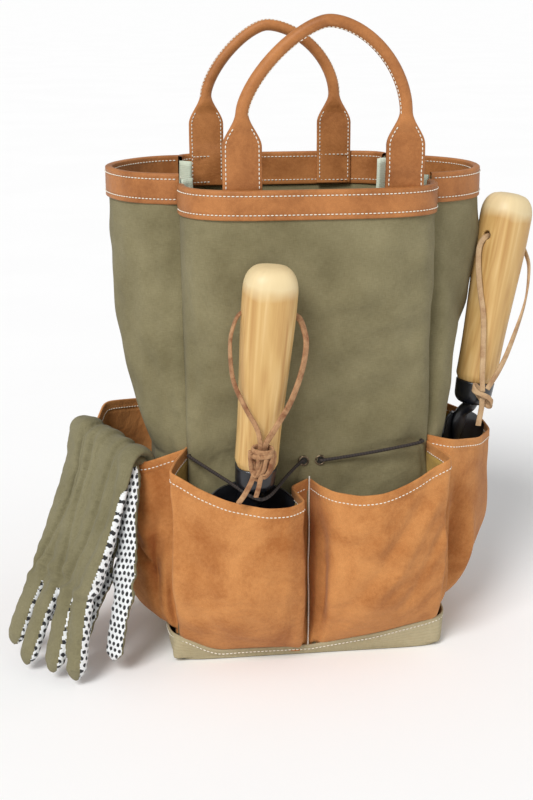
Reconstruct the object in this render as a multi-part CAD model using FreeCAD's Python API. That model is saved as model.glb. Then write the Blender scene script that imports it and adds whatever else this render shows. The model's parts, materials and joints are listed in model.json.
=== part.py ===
"""Garden tool bag: a soft canvas tote with leather rim, leather outside pockets and two rolled
leather handles, carrying two hand trowels and a pair of gloves.

Millimetres. +Z is up, +Y is the rear, -Y the front. The origin is on the ground under the middle
of the base. The four canvas panels meet in seams that pull inwards, so that the plan of the bag is
four lobes: front, rear and two side "ears" that open out towards the rim.
"""

import FreeCAD, Part
import math
import os

V = FreeCAD.Vector

# ---- driving dimensions -------------------------------------------------------------------
RIM_Z = {"front": 324.0, "right": 328.0, "rear": 329.0, "left": 330.0}  # top edge of the canvas
SEAM_Z = 20.0  # height of the base panel's turned-up edge, where the pockets are sewn in
WAIST_Z = 143.0  # the drawcord's height, where the body is narrowest
UPRIGHT_Z = 303.0  # the canvas is upright from here up
BAND_H = {"front": 19.0, "right": 20.0, "rear": 24.0, "left": 20.0}  # height of the leather rim band

CANVAS = 1.4  # canvas thickness
LEATHER = 1.6  # leather thickness
GAP = 0.15  # air left between sewn layers, so that no two solids share volume

# plan of the body at the base, the waist and the rim
SEAM_X = (88.0, 82.0, 83.0)  # front corner seams, half the distance across
REAR_SEAM_X = (88.0, 82.0, 76.0)  # the rear pair
SEAM_FRONT = (66.0, 62.0, 51.0)  # corner seams in front of the origin
SEAM_REAR = (66.0, 62.0, 60.0)  # corner seams behind the origin
FRONT_Y = (73.0, 77.0, 97.0)  # how far the front lobe stands out
REAR_Y = (73.0, 75.0, 84.0)  # how far the rear lobe stands out
EAR_X = (94.0, 104.0, 127.0)  # and the side lobes
PANEL_N = 3.4  # superellipse power of the front and rear lobes: nearly flat, round corners
EAR_N = 1.9  # of the side lobes: a round fold
EAR_EASE = {"left": 0.6, "right": 1.3}  # how early each ear opens out above the waist

POCKET_TOP = 146.0
POCKET_N = 3.4
SIDE_POCKET_N = 2.3  # the side pockets are rounder
POCKET_EASE = 0.6  # pockets belly out quickly above their bottom seam
FRONT_POCKET = 46.0  # how far each kind of pocket stands out from the body at its lip
SIDE_POCKET = 58.0
REAR_POCKET = 30.0
LIP_SAG = 20.0  # how far the front and rear lips sag between their ends
PIPING_R = 1.1

CORD_R = 1.2
EYELET_X = 5.0  # half the distance between the two middle eyelets
EYELET_BORE = 3.4
EYELET_FLANGE = 4.8
CORNER_HOLE_X = 75.0
CORNER_HOLE_R = 3.0

STRAP_W = 25.0
STRAP_T = 3.4  # two layers of leather
FEET_X = {"front": (-46.0, 57.5), "rear": (-54.0, 39.5)}  # middles of each handle's two feet
HINGE_Z = 336.0  # where the handle straps flex, just above the rim
NECK_H = 37.0  # above the hinge: where the flat strap has become a round roll
FOOT_GAP = 3.2  # left free below the hinge so that the strap can fold right down
ARCH_H = {"front": 55.5, "rear": 49.0}  # height of the round arch above that
ARCH_TOP_X = {"front": 8.0, "rear": -10.0}  # how far the arch's top stands to the right
ROLL_R = 4.1
ARCH_STEPS = 30
CORE_R = 2.5

GRIP_L = 134.0  # trowel handle
FERRULE_L = 16.0
GRIP_HALF = (17.3, 16.4)  # half width and half depth near the handle's top
HOLE_BELOW_TOP = 30.0
CORD_HOLE_R = 3.2
TANG_R = 3.0
TANG_L = 60.0
BLADE_R = 55.0  # radius of the blade's trough
BLADE_L = 86.0
BLADE_T = 1.8
NECK_R = 4.6
LACE_R = 1.6

GLOVE_T = 1.6  # one layer of a glove
GLOVE_W = 46.0


# ---- curves and thin walls ------------------------------------------------------------------
def mix(a, b, k):
    return a + (b - a) * k


def smooth(k):
    return k * k * (3 - 2 * k)


def level(table, z, ease=None):
    """A plan dimension at height z, eased from its base value through the waist to the rim."""
    base, waist, rim = table
    if z <= WAIST_Z:
        return mix(base, waist, smooth(max(0.0, z - SEAM_Z) / (WAIST_Z - SEAM_Z)))
    k = min(1.0, (z - WAIST_Z) / (UPRIGHT_Z - WAIST_Z))
    if ease is None:
        return mix(waist, rim, smooth(k))
    return mix(waist, rim, math.sin(k * math.pi / 2) ** ease)


def superellipse(a, b, depth, n, first, last, count):
    """Points of a lobe standing out to the right of the chord a-b, from fraction first to last."""
    half = (b - a) * 0.5
    middle = (a + b) * 0.5
    out = V(half.y, -half.x, 0)
    out.normalize()
    start, stop = math.asin(first), math.asin(last)
    points = []
    for i in range(count):
        f = math.sin(mix(start, stop, i / (count - 1)))
        rise = max(0.0, 1 - abs(f) ** n) ** (1 / n)
        points.append(middle + half * f + out * (depth * rise))
    return points


def offset(points, distance):
    """The same points moved to the right of the direction of travel, seen from above."""
    moved = []
    for i, p in enumerate(points):
        before = points[max(0, i - 1)]
        after = points[min(len(points) - 1, i + 1)]
        along = after - before
        out = V(along.y, -along.x, 0)
        out.normalize()
        moved.append(p + out * distance)
    return moved


def spline(points):
    curve = Part.BSplineCurve()
    curve.interpolate(points)
    return curve.toShape()


def tube(edge, radius, count):
    """Solid of round section along a curve, in count short straight lengths."""
    rings = []
    for i in range(count + 1):
        u = mix(edge.FirstParameter, edge.LastParameter, i / count)
        rings.append(Part.Wire(Part.makeCircle(radius, edge.valueAt(u), edge.tangentAt(u))))
    return Part.makeLoft(rings, True, True)


def section(outer, inner, z):
    """Closed wire round a strip of wall at height z."""
    lift = V(0, 0, z)
    outer = [p + lift for p in outer]
    inner = [p + lift for p in inner]
    edges = [
        spline(outer),
        Part.makeLine(outer[-1], inner[-1]),
        spline(inner[::-1]),
        Part.makeLine(inner[0], outer[0]),
    ]
    return Part.Wire(edges)


def wall(sections):
    return Part.makeLoft(sections, True, True)


def prism(outer, inner, low, high):
    return Part.Face(section(outer, inner, low)).extrude(V(0, 0, high - low))


# ---- body ------------------------------------------------------------------------------------
SIDES = ("front", "right", "rear", "left")


def chord(side, z):
    """Ends, depth and power of one side's lobe at height z, counter-clockwise from above."""
    x, rear_x = level(SEAM_X, z), level(REAR_SEAM_X, z)
    front, rear = level(SEAM_FRONT, z), level(SEAM_REAR, z)
    if side == "front":
        return V(-x, -front, 0), V(x, -front, 0), level(FRONT_Y, z) - front, PANEL_N
    if side == "rear":
        return V(rear_x, rear, 0), V(-rear_x, rear, 0), level(REAR_Y, z) - rear, PANEL_N
    ear = level(EAR_X, z, EAR_EASE[side]) - (x + rear_x) / 2
    if side == "right":
        return V(x, -front, 0), V(rear_x, rear, 0), ear, EAR_N
    return V(-rear_x, rear, 0), V(-x, -front, 0), ear, EAR_N


def end_fraction(depth, n, gap):
    """Fraction of the half chord at which the lobe has risen by gap."""
    return (1 - (gap / depth) ** n) ** (1 / n)


def side_curve(side, z, gap=0.4, first=None, last=None, count=19):
    a, b, depth, n = chord(side, z)
    end = end_fraction(depth, n, gap)
    first = -end if first is None else first
    last = end if last is None else last
    return superellipse(a, b, depth, n, first, last, count)


def panel(side):
    heights = [2.4, SEAM_Z + 2, 60, 100, WAIST_Z - 7, WAIST_Z + 7, 165, 185, 210, 235, 270, UPRIGHT_Z]
    sections = []
    for z in heights + [RIM_Z[side]]:
        outer = side_curve(side, z)
        sections.append(section(outer, offset(outer, -CANVAS), z))
    return wall(sections)


def rim_band(side):
    """Leather folded over the canvas edge."""
    edge, skin, over = RIM_Z[side], GAP + LEATHER, 2.0
    foot = edge + over - BAND_H[side]
    outer = side_curve(side, edge, gap=2.3)
    band = prism(offset(outer, skin), offset(outer, -CANVAS - skin), foot, edge + over)
    long = side_curve(side, edge, gap=0.3)
    slot = prism(offset(long, GAP), offset(long, -CANVAS - GAP), foot - 1, edge + 0.3)
    return band.cut(slot)


def seam_binding(side_x, side_y):
    """Cotton tape round the seam allowance, standing into the bag from a corner seam."""
    near, width, half = 1.8, 10.0, 1.4
    across_table, depth_table = (SEAM_X, SEAM_FRONT) if side_y < 0 else (REAR_SEAM_X, SEAM_REAR)
    wires = []
    for z in (6.5, 60, 100, WAIST_Z, 180, 235, UPRIGHT_Z, RIM_Z["left"] + 5):
        corner = V(side_x * level(across_table, z), side_y * level(depth_table, z), z)
        inward = V(-side_x, -side_y, 0)
        inward.normalize()
        across = V(-inward.y, inward.x, 0) * half
        a, b = corner + inward * near, corner + inward * (near + width)
        wires.append(Part.makePolygon([a - across, b - across, b + across, a + across, a - across]))
    return wall(wires)


def rounded_plate(half_x, half_y, radius, low, high):
    box = Part.makeBox(2 * half_x, 2 * half_y, high - low, V(-half_x, -half_y, low))
    upright = [e for e in box.Edges if abs(e.BoundBox.ZLength - (high - low)) < 1e-6]
    return box.makeFillet(radius, upright)


def base_panel():
    """Canvas tray under the bag; its turned-up edge covers the foot of the panels."""
    half_x, half_y = EAR_X[0] + GAP + 0.2, FRONT_Y[0] + GAP + 0.2
    shell = 1.7
    outside = rounded_plate(half_x + shell, half_y + shell, 9.7, 0, SEAM_Z)
    return outside.cut(rounded_plate(half_x, half_y, 8, 2.2, SEAM_Z + 5))


def base_board():
    return rounded_plate(SEAM_X[0] - 4, SEAM_FRONT[0] - 4, 4, 2.4, 5.6)


def pocket(side, first, last, depth, power, sag_at=None):
    """A leather pouch sewn to the body along both ends and its foot."""
    sections = []
    count = 17
    for z in (SEAM_Z + 0.3, 30, 42, 58, 78, 100, 122, POCKET_TOP):
        body = side_curve(side, z, first=first, last=last, count=count)
        foot = offset(body, GAP + 0.05 + LEATHER)
        belly = superellipse(foot[0], foot[-1], depth, power, -1, 1, count)
        k = ((z - SEAM_Z - 0.3) / (POCKET_TOP - SEAM_Z - 0.3)) ** POCKET_EASE
        outer = [mix(p, q, k) for p, q in zip(foot, belly)]
        sections.append(section(outer, offset(outer, -LEATHER), z))
    pouch = wall(sections)
    if sag_at is not None:
        pouch = pouch.cut(lip_scoop(*sag_at))
    return pouch


def lip_scoop(x, half_width, y_sign):
    """A round cutter that lowers a front or rear pocket's lip by LIP_SAG in the middle."""
    radius = (half_width**2 + LIP_SAG**2) / (2 * LIP_SAG)
    centre = V(x, 0, POCKET_TOP - LIP_SAG + radius)
    return Part.makeCylinder(radius, 200, centre, V(0, y_sign, 0))


def pocket_piping(side, sign):
    """Corded edge of the seam that parts the two pockets of one side."""
    wires = []
    for z in (SEAM_Z + 0.8, 60, 100, POCKET_TOP - 8):
        y = sign * (level(FRONT_Y if side == "front" else REAR_Y, z) + GAP + PIPING_R + 0.2)
        wires.append(Part.Wire(Part.makeCircle(PIPING_R, V(0, y, z))))
    return Part.makeLoft(wires, True, True)


# ---- drawcord and its eyelets -------------------------------------------------------------------
def eyelets(sign):
    y = sign * level(FRONT_Y if sign < 0 else REAR_Y, WAIST_Z)
    rings = []
    for x in (-EYELET_X, EYELET_X):
        start = V(x, y + sign * 0.9, WAIST_Z)
        inward = V(0, -sign, 0)
        length = CANVAS + 1.8
        body = Part.makeCylinder(EYELET_BORE + 0.4, length, start, inward)
        flange = Part.makeCylinder(EYELET_FLANGE, 0.8, start, inward)
        washer_start = start + inward * (length - 0.8)
        washer = Part.makeCylinder(EYELET_FLANGE, 0.8, washer_start, inward)
        bore = Part.makeCylinder(EYELET_BORE, length + 2, start - inward, inward)
        rings.append(body.fuse([flange, washer]).cut(bore))
    return Part.makeCompound(rings)


def cord_holes(sign):
    """Cutters for the cord's four holes through a front or rear panel."""
    cutters = []
    y = sign * 60
    direction = V(0, sign, 0)
    for x in (-EYELET_X, EYELET_X):
        cutters.append(Part.makeCylinder(EYELET_BORE + 0.5, 40, V(x, y, WAIST_Z), direction))
    for x in (-CORNER_HOLE_X, CORNER_HOLE_X):
        cutters.append(Part.makeCylinder(CORNER_HOLE_R, 40, V(x, y, WAIST_Z), direction))
    return cutters


def cord_through_eyelets(y, out):
    """Points of the cord, left to right, as it dips in and out through the two middle eyelets."""
    left = [
        V(-EYELET_X - 4.5, y + out * 3.4, WAIST_Z),
        V(-EYELET_X - 0.5, y + out * 0.6, WAIST_Z),
        V(-EYELET_X + 0.5, y - out * 2.6, WAIST_Z),
        V(-2.4, y - out * 6.5, WAIST_Z),
    ]
    return left + [V(-p.x, p.y, p.z) for p in left[::-1]]


def drawcord():
    """One lace round the bag: outside on the front and rear, inside past the seam bindings at the
    sides. In front it dips round the front trowel's neck."""
    front, rear = level(FRONT_Y, WAIST_Z), level(REAR_Y, WAIST_Z)
    z, low = WAIST_Z, FRONT_NECK.z + 4.5
    hole = CORNER_HOLE_X
    clear = CORD_R + 1.6
    inner_x, turn_y = 66.0, 50.0
    neck = FRONT_NECK + V(0, -15.6, 0)
    points = [
        V(-hole + 2, -turn_y - 12, z),
        V(-hole, -front + 6, z),
        V(-hole + 1, -front - clear, z),
        V(mix(-hole, neck.x, 0.5), mix(-front - clear, neck.y, 0.65), mix(z, low, 0.5)),
        V(neck.x - 6, neck.y + 1, low + 0.6),
        V(neck.x + 6, neck.y + 1, low + 0.6),
        V(mix(neck.x, -EYELET_X, 0.5), mix(neck.y, -front, 0.42), mix(low, z, 0.5)),
        *cord_through_eyelets(-front, -1),
        V(hole * 0.5, -front - clear, z),
        V(hole - 3, -front - clear + 0.6, z),
        V(hole, -front + 6, z),
        V(hole - 2, -turn_y - 12, z),
        V(inner_x, -turn_y, z),
        V(inner_x, 0, z),
        V(inner_x, turn_y, z),
        V(hole - 2, turn_y + 12, z),
        V(hole, rear - 5, z),
        V(hole - 3, rear + clear - 0.6, z),
        V(hole * 0.5, rear + clear, z),
        *cord_through_eyelets(rear, 1)[::-1],
        V(-hole * 0.5, rear + clear, z),
        V(-hole + 3, rear + clear - 0.6, z),
        V(-hole, rear - 5, z),
        V(-hole + 2, turn_y + 12, z),
        V(-inner_x, turn_y, z),
        V(-inner_x, 0, z),
        V(-inner_x, -turn_y, z),
    ]
    path = Part.BSplineCurve()
    path.interpolate(Points=points, PeriodicFlag=True)
    first, last = path.FirstParameter, path.LastParameter
    return tube(path.toShape(first, mix(first, last, 0.9995)), CORD_R, 160)


# ---- handles ----------------------------------------------------------------------------------
def foot_depth(side):
    """Distance of a handle's feet from the origin plane, at the band's inner face."""
    a, b, depth, n = chord(side, RIM_Z[side])
    left, right = FEET_X[side]
    rise = (1 - ((right - left) / b.distanceToPoint(a)) ** n) ** (1 / n)
    return abs(a.y) + depth * rise - CANVAS - 2 * GAP - LEATHER - STRAP_T / 2


def handle_feet(side):
    """The two flat strap ends, sewn to the inner face of the rim band."""
    edge = RIM_Z[side]
    half = chord(side, edge)[1].distanceToPoint(chord(side, edge)[0]) / 2
    feet = []
    to_right = 1 if side == "front" else -1
    for x in FEET_X[side]:
        ends = sorted(to_right * (x + d) / half for d in (-STRAP_W / 2, STRAP_W / 2))
        band = side_curve(side, edge, first=ends[0], last=ends[1], count=7)
        face = offset(band, -CANVAS - 2 * GAP - LEATHER - 0.1)
        foot = edge - BAND_H[side] + 4
        feet.append(prism(face, offset(face, -STRAP_T), foot, HINGE_Z - FOOT_GAP))
    return Part.makeCompound(feet)


def arch_point(side, angle):
    """Centre of the rolled handle; angle runs from 0 at the left neck to 180 at the right."""
    a = math.radians(angle)
    foot_x = FEET_X[side][0 if angle < 90 else 1]
    x = ARCH_TOP_X[side] * math.sin(a) + foot_x * abs(math.cos(a))
    return V(x, 0, NECK_H + ARCH_H[side] * math.sin(a))


def strap_section(centre, along, k):
    """Outline across the handle: k is 1 where the strap is flat, 0 where it is rolled."""
    half_w, half_t = mix(ROLL_R, STRAP_W / 2, k), mix(ROLL_R, STRAP_T / 2, k)
    power = mix(2.0, 5.0, k)
    depth = V(0, 1, 0)
    wide = depth.cross(along)
    points = []
    for i in range(16):
        a = 2 * math.pi * (i + 0.5) / 16
        c, s = math.cos(a), math.sin(a)
        x = half_w * math.copysign(abs(c) ** (2 / power), c)
        y = half_t * math.copysign(abs(s) ** (2 / power), s)
        points.append(centre + wide * x + depth * y)
    curve = Part.BSplineCurve()
    curve.interpolate(Points=points, PeriodicFlag=True)
    return Part.Wire(curve.toShape())


def handle(side):
    """Strap above the hinge, flat at both ends and rolled between, and the rope inside its roll."""
    left, right = FEET_X[side]
    flat = ((0.8, 1.0), (10, 1.0), (19, 1.0), (24, 0.9), (29, 0.6), (33, 0.25))
    rings = []
    for height, k in flat:
        rings.append(strap_section(V(left, 0, height), V(0, 0, 1), k))
    path = spline([arch_point(side, angle) for angle in range(0, 181, 15)])
    for i in range(ARCH_STEPS + 1):
        u = mix(path.FirstParameter, path.LastParameter, i / ARCH_STEPS)
        rings.append(strap_section(path.valueAt(u), path.tangentAt(u), 0.0))
    for height, k in flat[::-1]:
        rings.append(strap_section(V(right, 0, height), V(0, 0, -1), k))
    strap = Part.makeLoft(rings, True, True)
    roll = spline([arch_point(side, angle) for angle in range(15, 166, 15)])
    return strap.cut(tube(roll, CORE_R + 0.15, ARCH_STEPS)), tube(roll, CORE_R, ARCH_STEPS)


# ---- trowels ----------------------------------------------------------------------------------
# A trowel is made upright: +Z up its handle, -Y the hollow side of the blade, the origin at the
# foot of the ferrule.
def oval(half_x, half_y, z):
    wide = half_x >= half_y
    radii = (half_x, half_y) if wide else (half_y, half_x)
    ellipse = Part.Ellipse(V(0, 0, 0), *radii)
    wire = Part.Wire(ellipse.toShape())
    if not wide:
        wire.rotate(V(0, 0, 0), V(0, 0, 1), 90)
    wire.translate(V(0, 0, z))
    return wire


def trowel_grip():
    x, y = GRIP_HALF
    foot, top = FERRULE_L + 0.1, FERRULE_L + GRIP_L
    dome = 15.0
    rings = [
        oval(x * 0.72, y * 0.72, foot),
        oval(x * 0.81, y * 0.81, foot + 4),
        oval(x * 0.82, y * 0.82, foot + 22),
        oval(x * 0.86, y * 0.87, foot + 50),
        oval(x * 0.95, y * 0.96, foot + 85),
        oval(x, y, top - dome - 8),
    ]
    for angle in (12, 35, 55, 72):
        c, s = math.cos(math.radians(angle)), math.sin(math.radians(angle))
        rings.append(oval(x * c, y * c, top - dome + dome * s))
    grip = Part.makeLoft(rings, True, False)
    hole_z = top - HOLE_BELOW_TOP
    cross = Part.makeCylinder(CORD_HOLE_R, 4 * x, V(-2 * x, 0, hole_z), V(1, 0, 0))
    tang = Part.makeCylinder(TANG_R + 0.1, TANG_L + 2, V(0, 0, FERRULE_L - 1))
    return grip.cut(cross).cut(tang)


def trowel_ferrule():
    x, y = GRIP_HALF
    rings = [oval(8, 7.5, 0), oval(12, 11.3, 4), oval(x * 0.75, y * 0.75, FERRULE_L)]
    cap = Part.makeLoft(rings, True, False)
    return cap.cut(Part.makeCylinder(TANG_R + 0.1, FERRULE_L + 2, V(0, 0, -1)))


def trowel_blade(drop, spine, width):
    """Tang, swan neck and trough-shaped blade, forged in one. drop is the neck's height, spine how
    far the blade's spine lies behind the handle's axis."""
    tang = Part.makeCylinder(TANG_R, FERRULE_L + TANG_L + drop * 0.2, V(0, 0, -drop * 0.2))
    bend = [
        V(0, 0, -0.2),
        V(0, spine * 0.2, -drop * 0.45),
        V(0, spine * 0.7, -drop - 2),
        V(0, spine - 1.2, -drop - 18),
    ]
    ring = Part.Wire(Part.makeCircle(NECK_R, V(0, 0, -0.2), V(0, 0, 1)))
    neck = Part.Wire(spline(bend)).makePipeShell([ring], True, True)
    centre = V(0, spine - BLADE_R, -drop - BLADE_L)
    trough = Part.makeCylinder(BLADE_R, BLADE_L, centre).cut(
        Part.makeCylinder(BLADE_R - BLADE_T, BLADE_L, centre)
    )
    blade = trough.common(blade_outline(drop, width))
    return blade.fuse([neck, tang]).removeSplitter()


def blade_outline(drop, width):
    """Front view of the blade, extruded backwards."""
    half, top, tip = width / 2, -drop, -drop - BLADE_L
    shoulder = 14.0
    waist = tip + BLADE_L * 0.45
    right = [
        Part.Arc(V(0, 0, top), V(half * 0.72, 0, top - 3), V(half, 0, top - shoulder)).toShape(),
        Part.makeLine(V(half, 0, top - shoulder), V(half, 0, waist)),
        Part.Arc(V(half, 0, waist), V(half * 0.66, 0, tip + 14), V(0, 0, tip)).toShape(),
    ]
    left = [
        Part.Arc(V(0, 0, tip), V(-half * 0.66, 0, tip + 14), V(-half, 0, waist)).toShape(),
        Part.makeLine(V(-half, 0, waist), V(-half, 0, top - shoulder)),
        Part.Arc(V(-half, 0, top - shoulder), V(-half * 0.72, 0, top - 3), V(0, 0, top)).toShape(),
    ]
    face = Part.Face(Part.Wire(right + left))
    return face.extrude(V(0, 60, 0))


def trowel_lanyard():
    """Leather lace through the handle's cross hole, wound round itself in front of the handle's
    foot, with two short tails."""
    hole_z = FERRULE_L + GRIP_L - HOLE_BELOW_TOP
    strand = 1.9
    leg = [
        V(strand, -22.7, 34),
        V(strand, -22.7, 40),
        V(strand + 0.3, -22.6, 47),
        V(7, -21.4, 58),
        V(14.5, -18, 76),
        V(20.5, -10, 96),
        V(22, -3, 110),
        V(19.5, 0, hole_z - 0.3),
        V(10, 0, hole_z),
    ]
    long_tail = [V(-10, -22, 8), V(-4, -22.6, 26)]
    short_tail = [V(2.6, -22.6, 26), V(4, -22, 14)]
    other_leg = [V(-p.x, p.y, p.z) for p in leg]
    lace = tube(spline(long_tail + other_leg + leg[::-1] + short_tail), LACE_R, 80)
    turns = [Part.makeTorus(5.4, LACE_R, V(0, -22.7, z)) for z in (36.7, 40, 43.3)]
    return Part.makeCompound([lace] + turns)


def place(shape, foot, top, turn):
    """Stands a trowel shape with its ferrule's foot at foot and its handle pointing at top."""
    axis = top - foot
    tilt = FreeCAD.Rotation(V(0, 0, 1), axis)
    spin = FreeCAD.Rotation(V(0, 0, 1), turn)
    placed = shape.copy()
    placed.Placement = FreeCAD.Placement(foot, tilt.multiply(spin))
    return placed


# Each tool: foot of the ferrule, top of the handle, the turn of its hollow side and of its cross
# hole from the front, the height and the set-back of its neck, and the width of its blade.
FRONT_NECK = V(-41.6, -101.6, 133)
TOOLS = {
    "front": (FRONT_NECK, V(-30.6, -117.6, 287), 0.0, 0.0, 6.0, 14.0, 60.0),
    "side": (V(124.5, -18, 162), V(149, -14, 313), 65.0, 35.0, 12.0, 8.5, 52.0),
}


# ---- gloves -----------------------------------------------------------------------------------
GLOVE_FOLD = V(-130.5, -39.5, 150)  # where the pair folds over the left pocket's lip
GLOVE_OUT = V(-0.8, -0.6, 0)  # the way the gloves hang outwards
GLOVE_ACROSS = V(0.6, -0.8, 0)


def glove_path(depth):
    """Centre line of one layer, from inside the pocket over the lip and down, seen edge on.
    depth is the layer's distance from the innermost face of the fold."""
    r = 9.0 + depth
    points = [(-r - 2, 116 - GLOVE_FOLD.z), (-r - 1, -16), (-r, -2)]
    for angle in (45, 90, 135):
        a = math.radians(angle)
        points.append((-r * math.cos(a), r * math.sin(a)))
    slope = math.radians(22)
    foot = 12 - GLOVE_FOLD.z
    for z in (-8, -40, -80, foot):
        points.append((r * 0.98 + (2 - z) * math.tan(slope) * 0.98, z))
    return [GLOVE_FOLD + GLOVE_OUT * s + V(0, 0, z) for s, z in points]


def glove_layer(depth, shift, mirror):
    """One cloth layer of a glove: a bent plate trimmed to the outline of a hand."""
    inner, outer = glove_path(depth), glove_path(depth + GLOVE_T)
    across = GLOVE_ACROSS * 60
    strip = Part.Wire([
        spline(inner),
        Part.makeLine(inner[-1], outer[-1]),
        spline(outer[::-1]),
        Part.makeLine(outer[0], inner[0]),
    ])
    strip.translate(across * -1)
    plate = Part.Face(strip).extrude(across * 2)
    return plate.common(hand_prism(shift, mirror))


def hand_prism(shift, mirror):
    """Hand outline, fingers down, extruded along the way the gloves hang outwards."""
    half = GLOVE_W / 2
    base = GLOVE_FOLD + GLOVE_ACROSS * shift
    knuckle, cuff = 88.0, 180.0

    def at(x, z):
        return base + GLOVE_ACROSS * (x * mirror) + V(0, 0, z - GLOVE_FOLD.z)

    tips = (30, 18, 12, 20)
    width, slit = (GLOVE_W + 6) / 4, 2.4
    outline = [at(-half, cuff), at(-half - 3, knuckle)]
    for i, tip in enumerate(tips):
        left = -half - 3 + i * width
        right = left + width - slit
        middle = (left + right) / 2
        outline += [at(left - 1, tip + 8), at(middle, tip), at(right - 1, tip + 8)]
        if i < 3:
            outline += [at(right, knuckle - 6), at(right + slit, knuckle - 6)]
    outline += [at(half + 3, knuckle), at(half, cuff), at(-half, cuff)]
    face = Part.Face(Part.makePolygon(outline))
    face.translate(GLOVE_OUT * -60)
    return face.extrude(GLOVE_OUT * 190)


# ---- the assembly -------------------------------------------------------------------------------
def build():
    parts = {
        "base_panel": base_panel(),
        "base_board": base_board(),
        "front_panel": panel("front").cut(cord_holes(-1)),
        "rear_panel": panel("rear").cut(cord_holes(1)),
        "left_side_panel": panel("left"),
        "right_side_panel": panel("right"),
        "front_eyelets": eyelets(-1),
        "rear_eyelets": eyelets(1),
        "drawcord": drawcord(),
        "front_pocket_piping": pocket_piping("front", -1),
        "rear_pocket_piping": pocket_piping("rear", 1),
    }
    for side in SIDES:
        parts[f"{side}_rim_band"] = rim_band(side)
    for x, x_name in ((-1, "left"), (1, "right")):
        for y, y_name in ((-1, "front"), (1, "rear")):
            parts[f"{y_name}_{x_name}_seam_binding"] = seam_binding(x, y)

    # the fraction of the half width where a pocket starts beside the middle seam, and where it ends
    middle, corner = 0.02, 0.995
    scoop = SEAM_X[1] / 2
    for side, y, depth in (("front", -1, FRONT_POCKET), ("rear", 1, REAR_POCKET)):
        for name, x in (("left", -1), ("right", 1)):
            ends = sorted((-x * y * middle, -x * y * corner))
            node = f"{side}_{name}_pocket"
            parts[node] = pocket(side, *ends, depth, POCKET_N, (x * scoop, scoop, y))
    for side in ("right", "left"):
        parts[f"{side}_pocket"] = pocket(side, -0.985, 0.985, SIDE_POCKET, SIDE_POCKET_N)

    for side, sign in (("front", -1), ("rear", 1)):
        strap, core = handle(side)
        hinge = V(0, sign * foot_depth(side), HINGE_Z)
        strap.translate(hinge)
        core.translate(hinge)
        parts[f"{side}_handle_feet"] = handle_feet(side)
        parts[f"{side}_handle_strap"] = strap
        parts[f"{side}_handle_core"] = core

    for name, (foot, top, blade_turn, hole_turn, drop, spine, width) in TOOLS.items():
        parts[f"{name}_trowel_grip"] = place(trowel_grip(), foot, top, hole_turn)
        parts[f"{name}_trowel_ferrule"] = place(trowel_ferrule(), foot, top, hole_turn)
        blade = trowel_blade(drop, spine, width)
        parts[f"{name}_trowel_blade"] = place(blade, foot, top, blade_turn)
        parts[f"{name}_trowel_lanyard"] = place(trowel_lanyard(), foot, top, hole_turn)

    skins = ("under_glove_back", "under_glove_palm", "upper_glove_palm", "upper_glove_back")
    for i, name in enumerate(skins):
        upper = i > 1
        shift, mirror = (-3, 1) if upper else (3, -1)
        parts[name] = glove_layer(i * (GLOVE_T + 0.15), shift, mirror)
    return parts


def main():
    os.makedirs("parts", exist_ok=True)
    for name, shape in build().items():
        if not shape.isValid():
            print("not valid:", name)
        shape.exportStep(f"parts/{name}.step")


main()
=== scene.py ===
import json
import math

import bmesh
import bpy
import numpy as np
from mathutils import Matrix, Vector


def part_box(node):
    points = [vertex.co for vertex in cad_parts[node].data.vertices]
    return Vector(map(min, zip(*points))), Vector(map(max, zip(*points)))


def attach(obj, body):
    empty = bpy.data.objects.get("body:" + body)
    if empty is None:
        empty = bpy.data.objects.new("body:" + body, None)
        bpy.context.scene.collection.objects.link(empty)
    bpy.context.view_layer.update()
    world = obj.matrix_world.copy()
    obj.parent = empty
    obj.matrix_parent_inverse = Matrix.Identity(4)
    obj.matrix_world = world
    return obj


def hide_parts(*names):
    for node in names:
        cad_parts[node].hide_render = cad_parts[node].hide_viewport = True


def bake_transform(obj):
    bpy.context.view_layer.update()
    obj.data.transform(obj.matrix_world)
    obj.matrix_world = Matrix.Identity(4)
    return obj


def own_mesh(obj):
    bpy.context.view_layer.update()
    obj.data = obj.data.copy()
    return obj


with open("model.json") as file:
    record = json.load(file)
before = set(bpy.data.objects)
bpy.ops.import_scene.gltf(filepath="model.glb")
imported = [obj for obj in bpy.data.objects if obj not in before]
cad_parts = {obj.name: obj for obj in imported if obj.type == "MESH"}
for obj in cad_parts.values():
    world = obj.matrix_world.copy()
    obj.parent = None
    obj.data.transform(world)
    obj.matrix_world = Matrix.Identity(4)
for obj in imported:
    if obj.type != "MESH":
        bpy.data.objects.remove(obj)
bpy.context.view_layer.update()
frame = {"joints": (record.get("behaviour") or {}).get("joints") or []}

# Shapes are worked out in millimetres and written to meshes in metres. +Z up, -Y the front.
MM = 0.001
JOINTS = {joint["name"]: joint for joint in frame["joints"]}


def low(node):
    return np.array(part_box(node)[0]) / MM


def high(node):
    return np.array(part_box(node)[1]) / MM


# ---- driving dimensions, most of them read from the CAD model ----
CANVAS = 1.4
LEATHER = 1.6
SKIN = LEATHER + 0.15  # from the canvas to the outside of the leather on it
SIDES = ("front", "right", "rear", "left")
RIM_TOP = {side: high(side + "_rim_band")[2] for side in SIDES}
BAND_FOOT = {side: low(side + "_rim_band")[2] for side in SIDES}
UPTURN_Z = 20.0  # up to here the walls keep the base's shape
WAIST_Z = 143.0  # height of the drawcord
UPRIGHT_Z = 303.0  # above this the walls keep the rim's shape
BASE_HALF = (high("base_panel") - low("base_panel"))[:2] / 2
# how square the base's corners are at the floor and at the band's upper edge
FLOOR_SQUARENESS = 13.0
EDGE_SQUARENESS = 11.5

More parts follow.
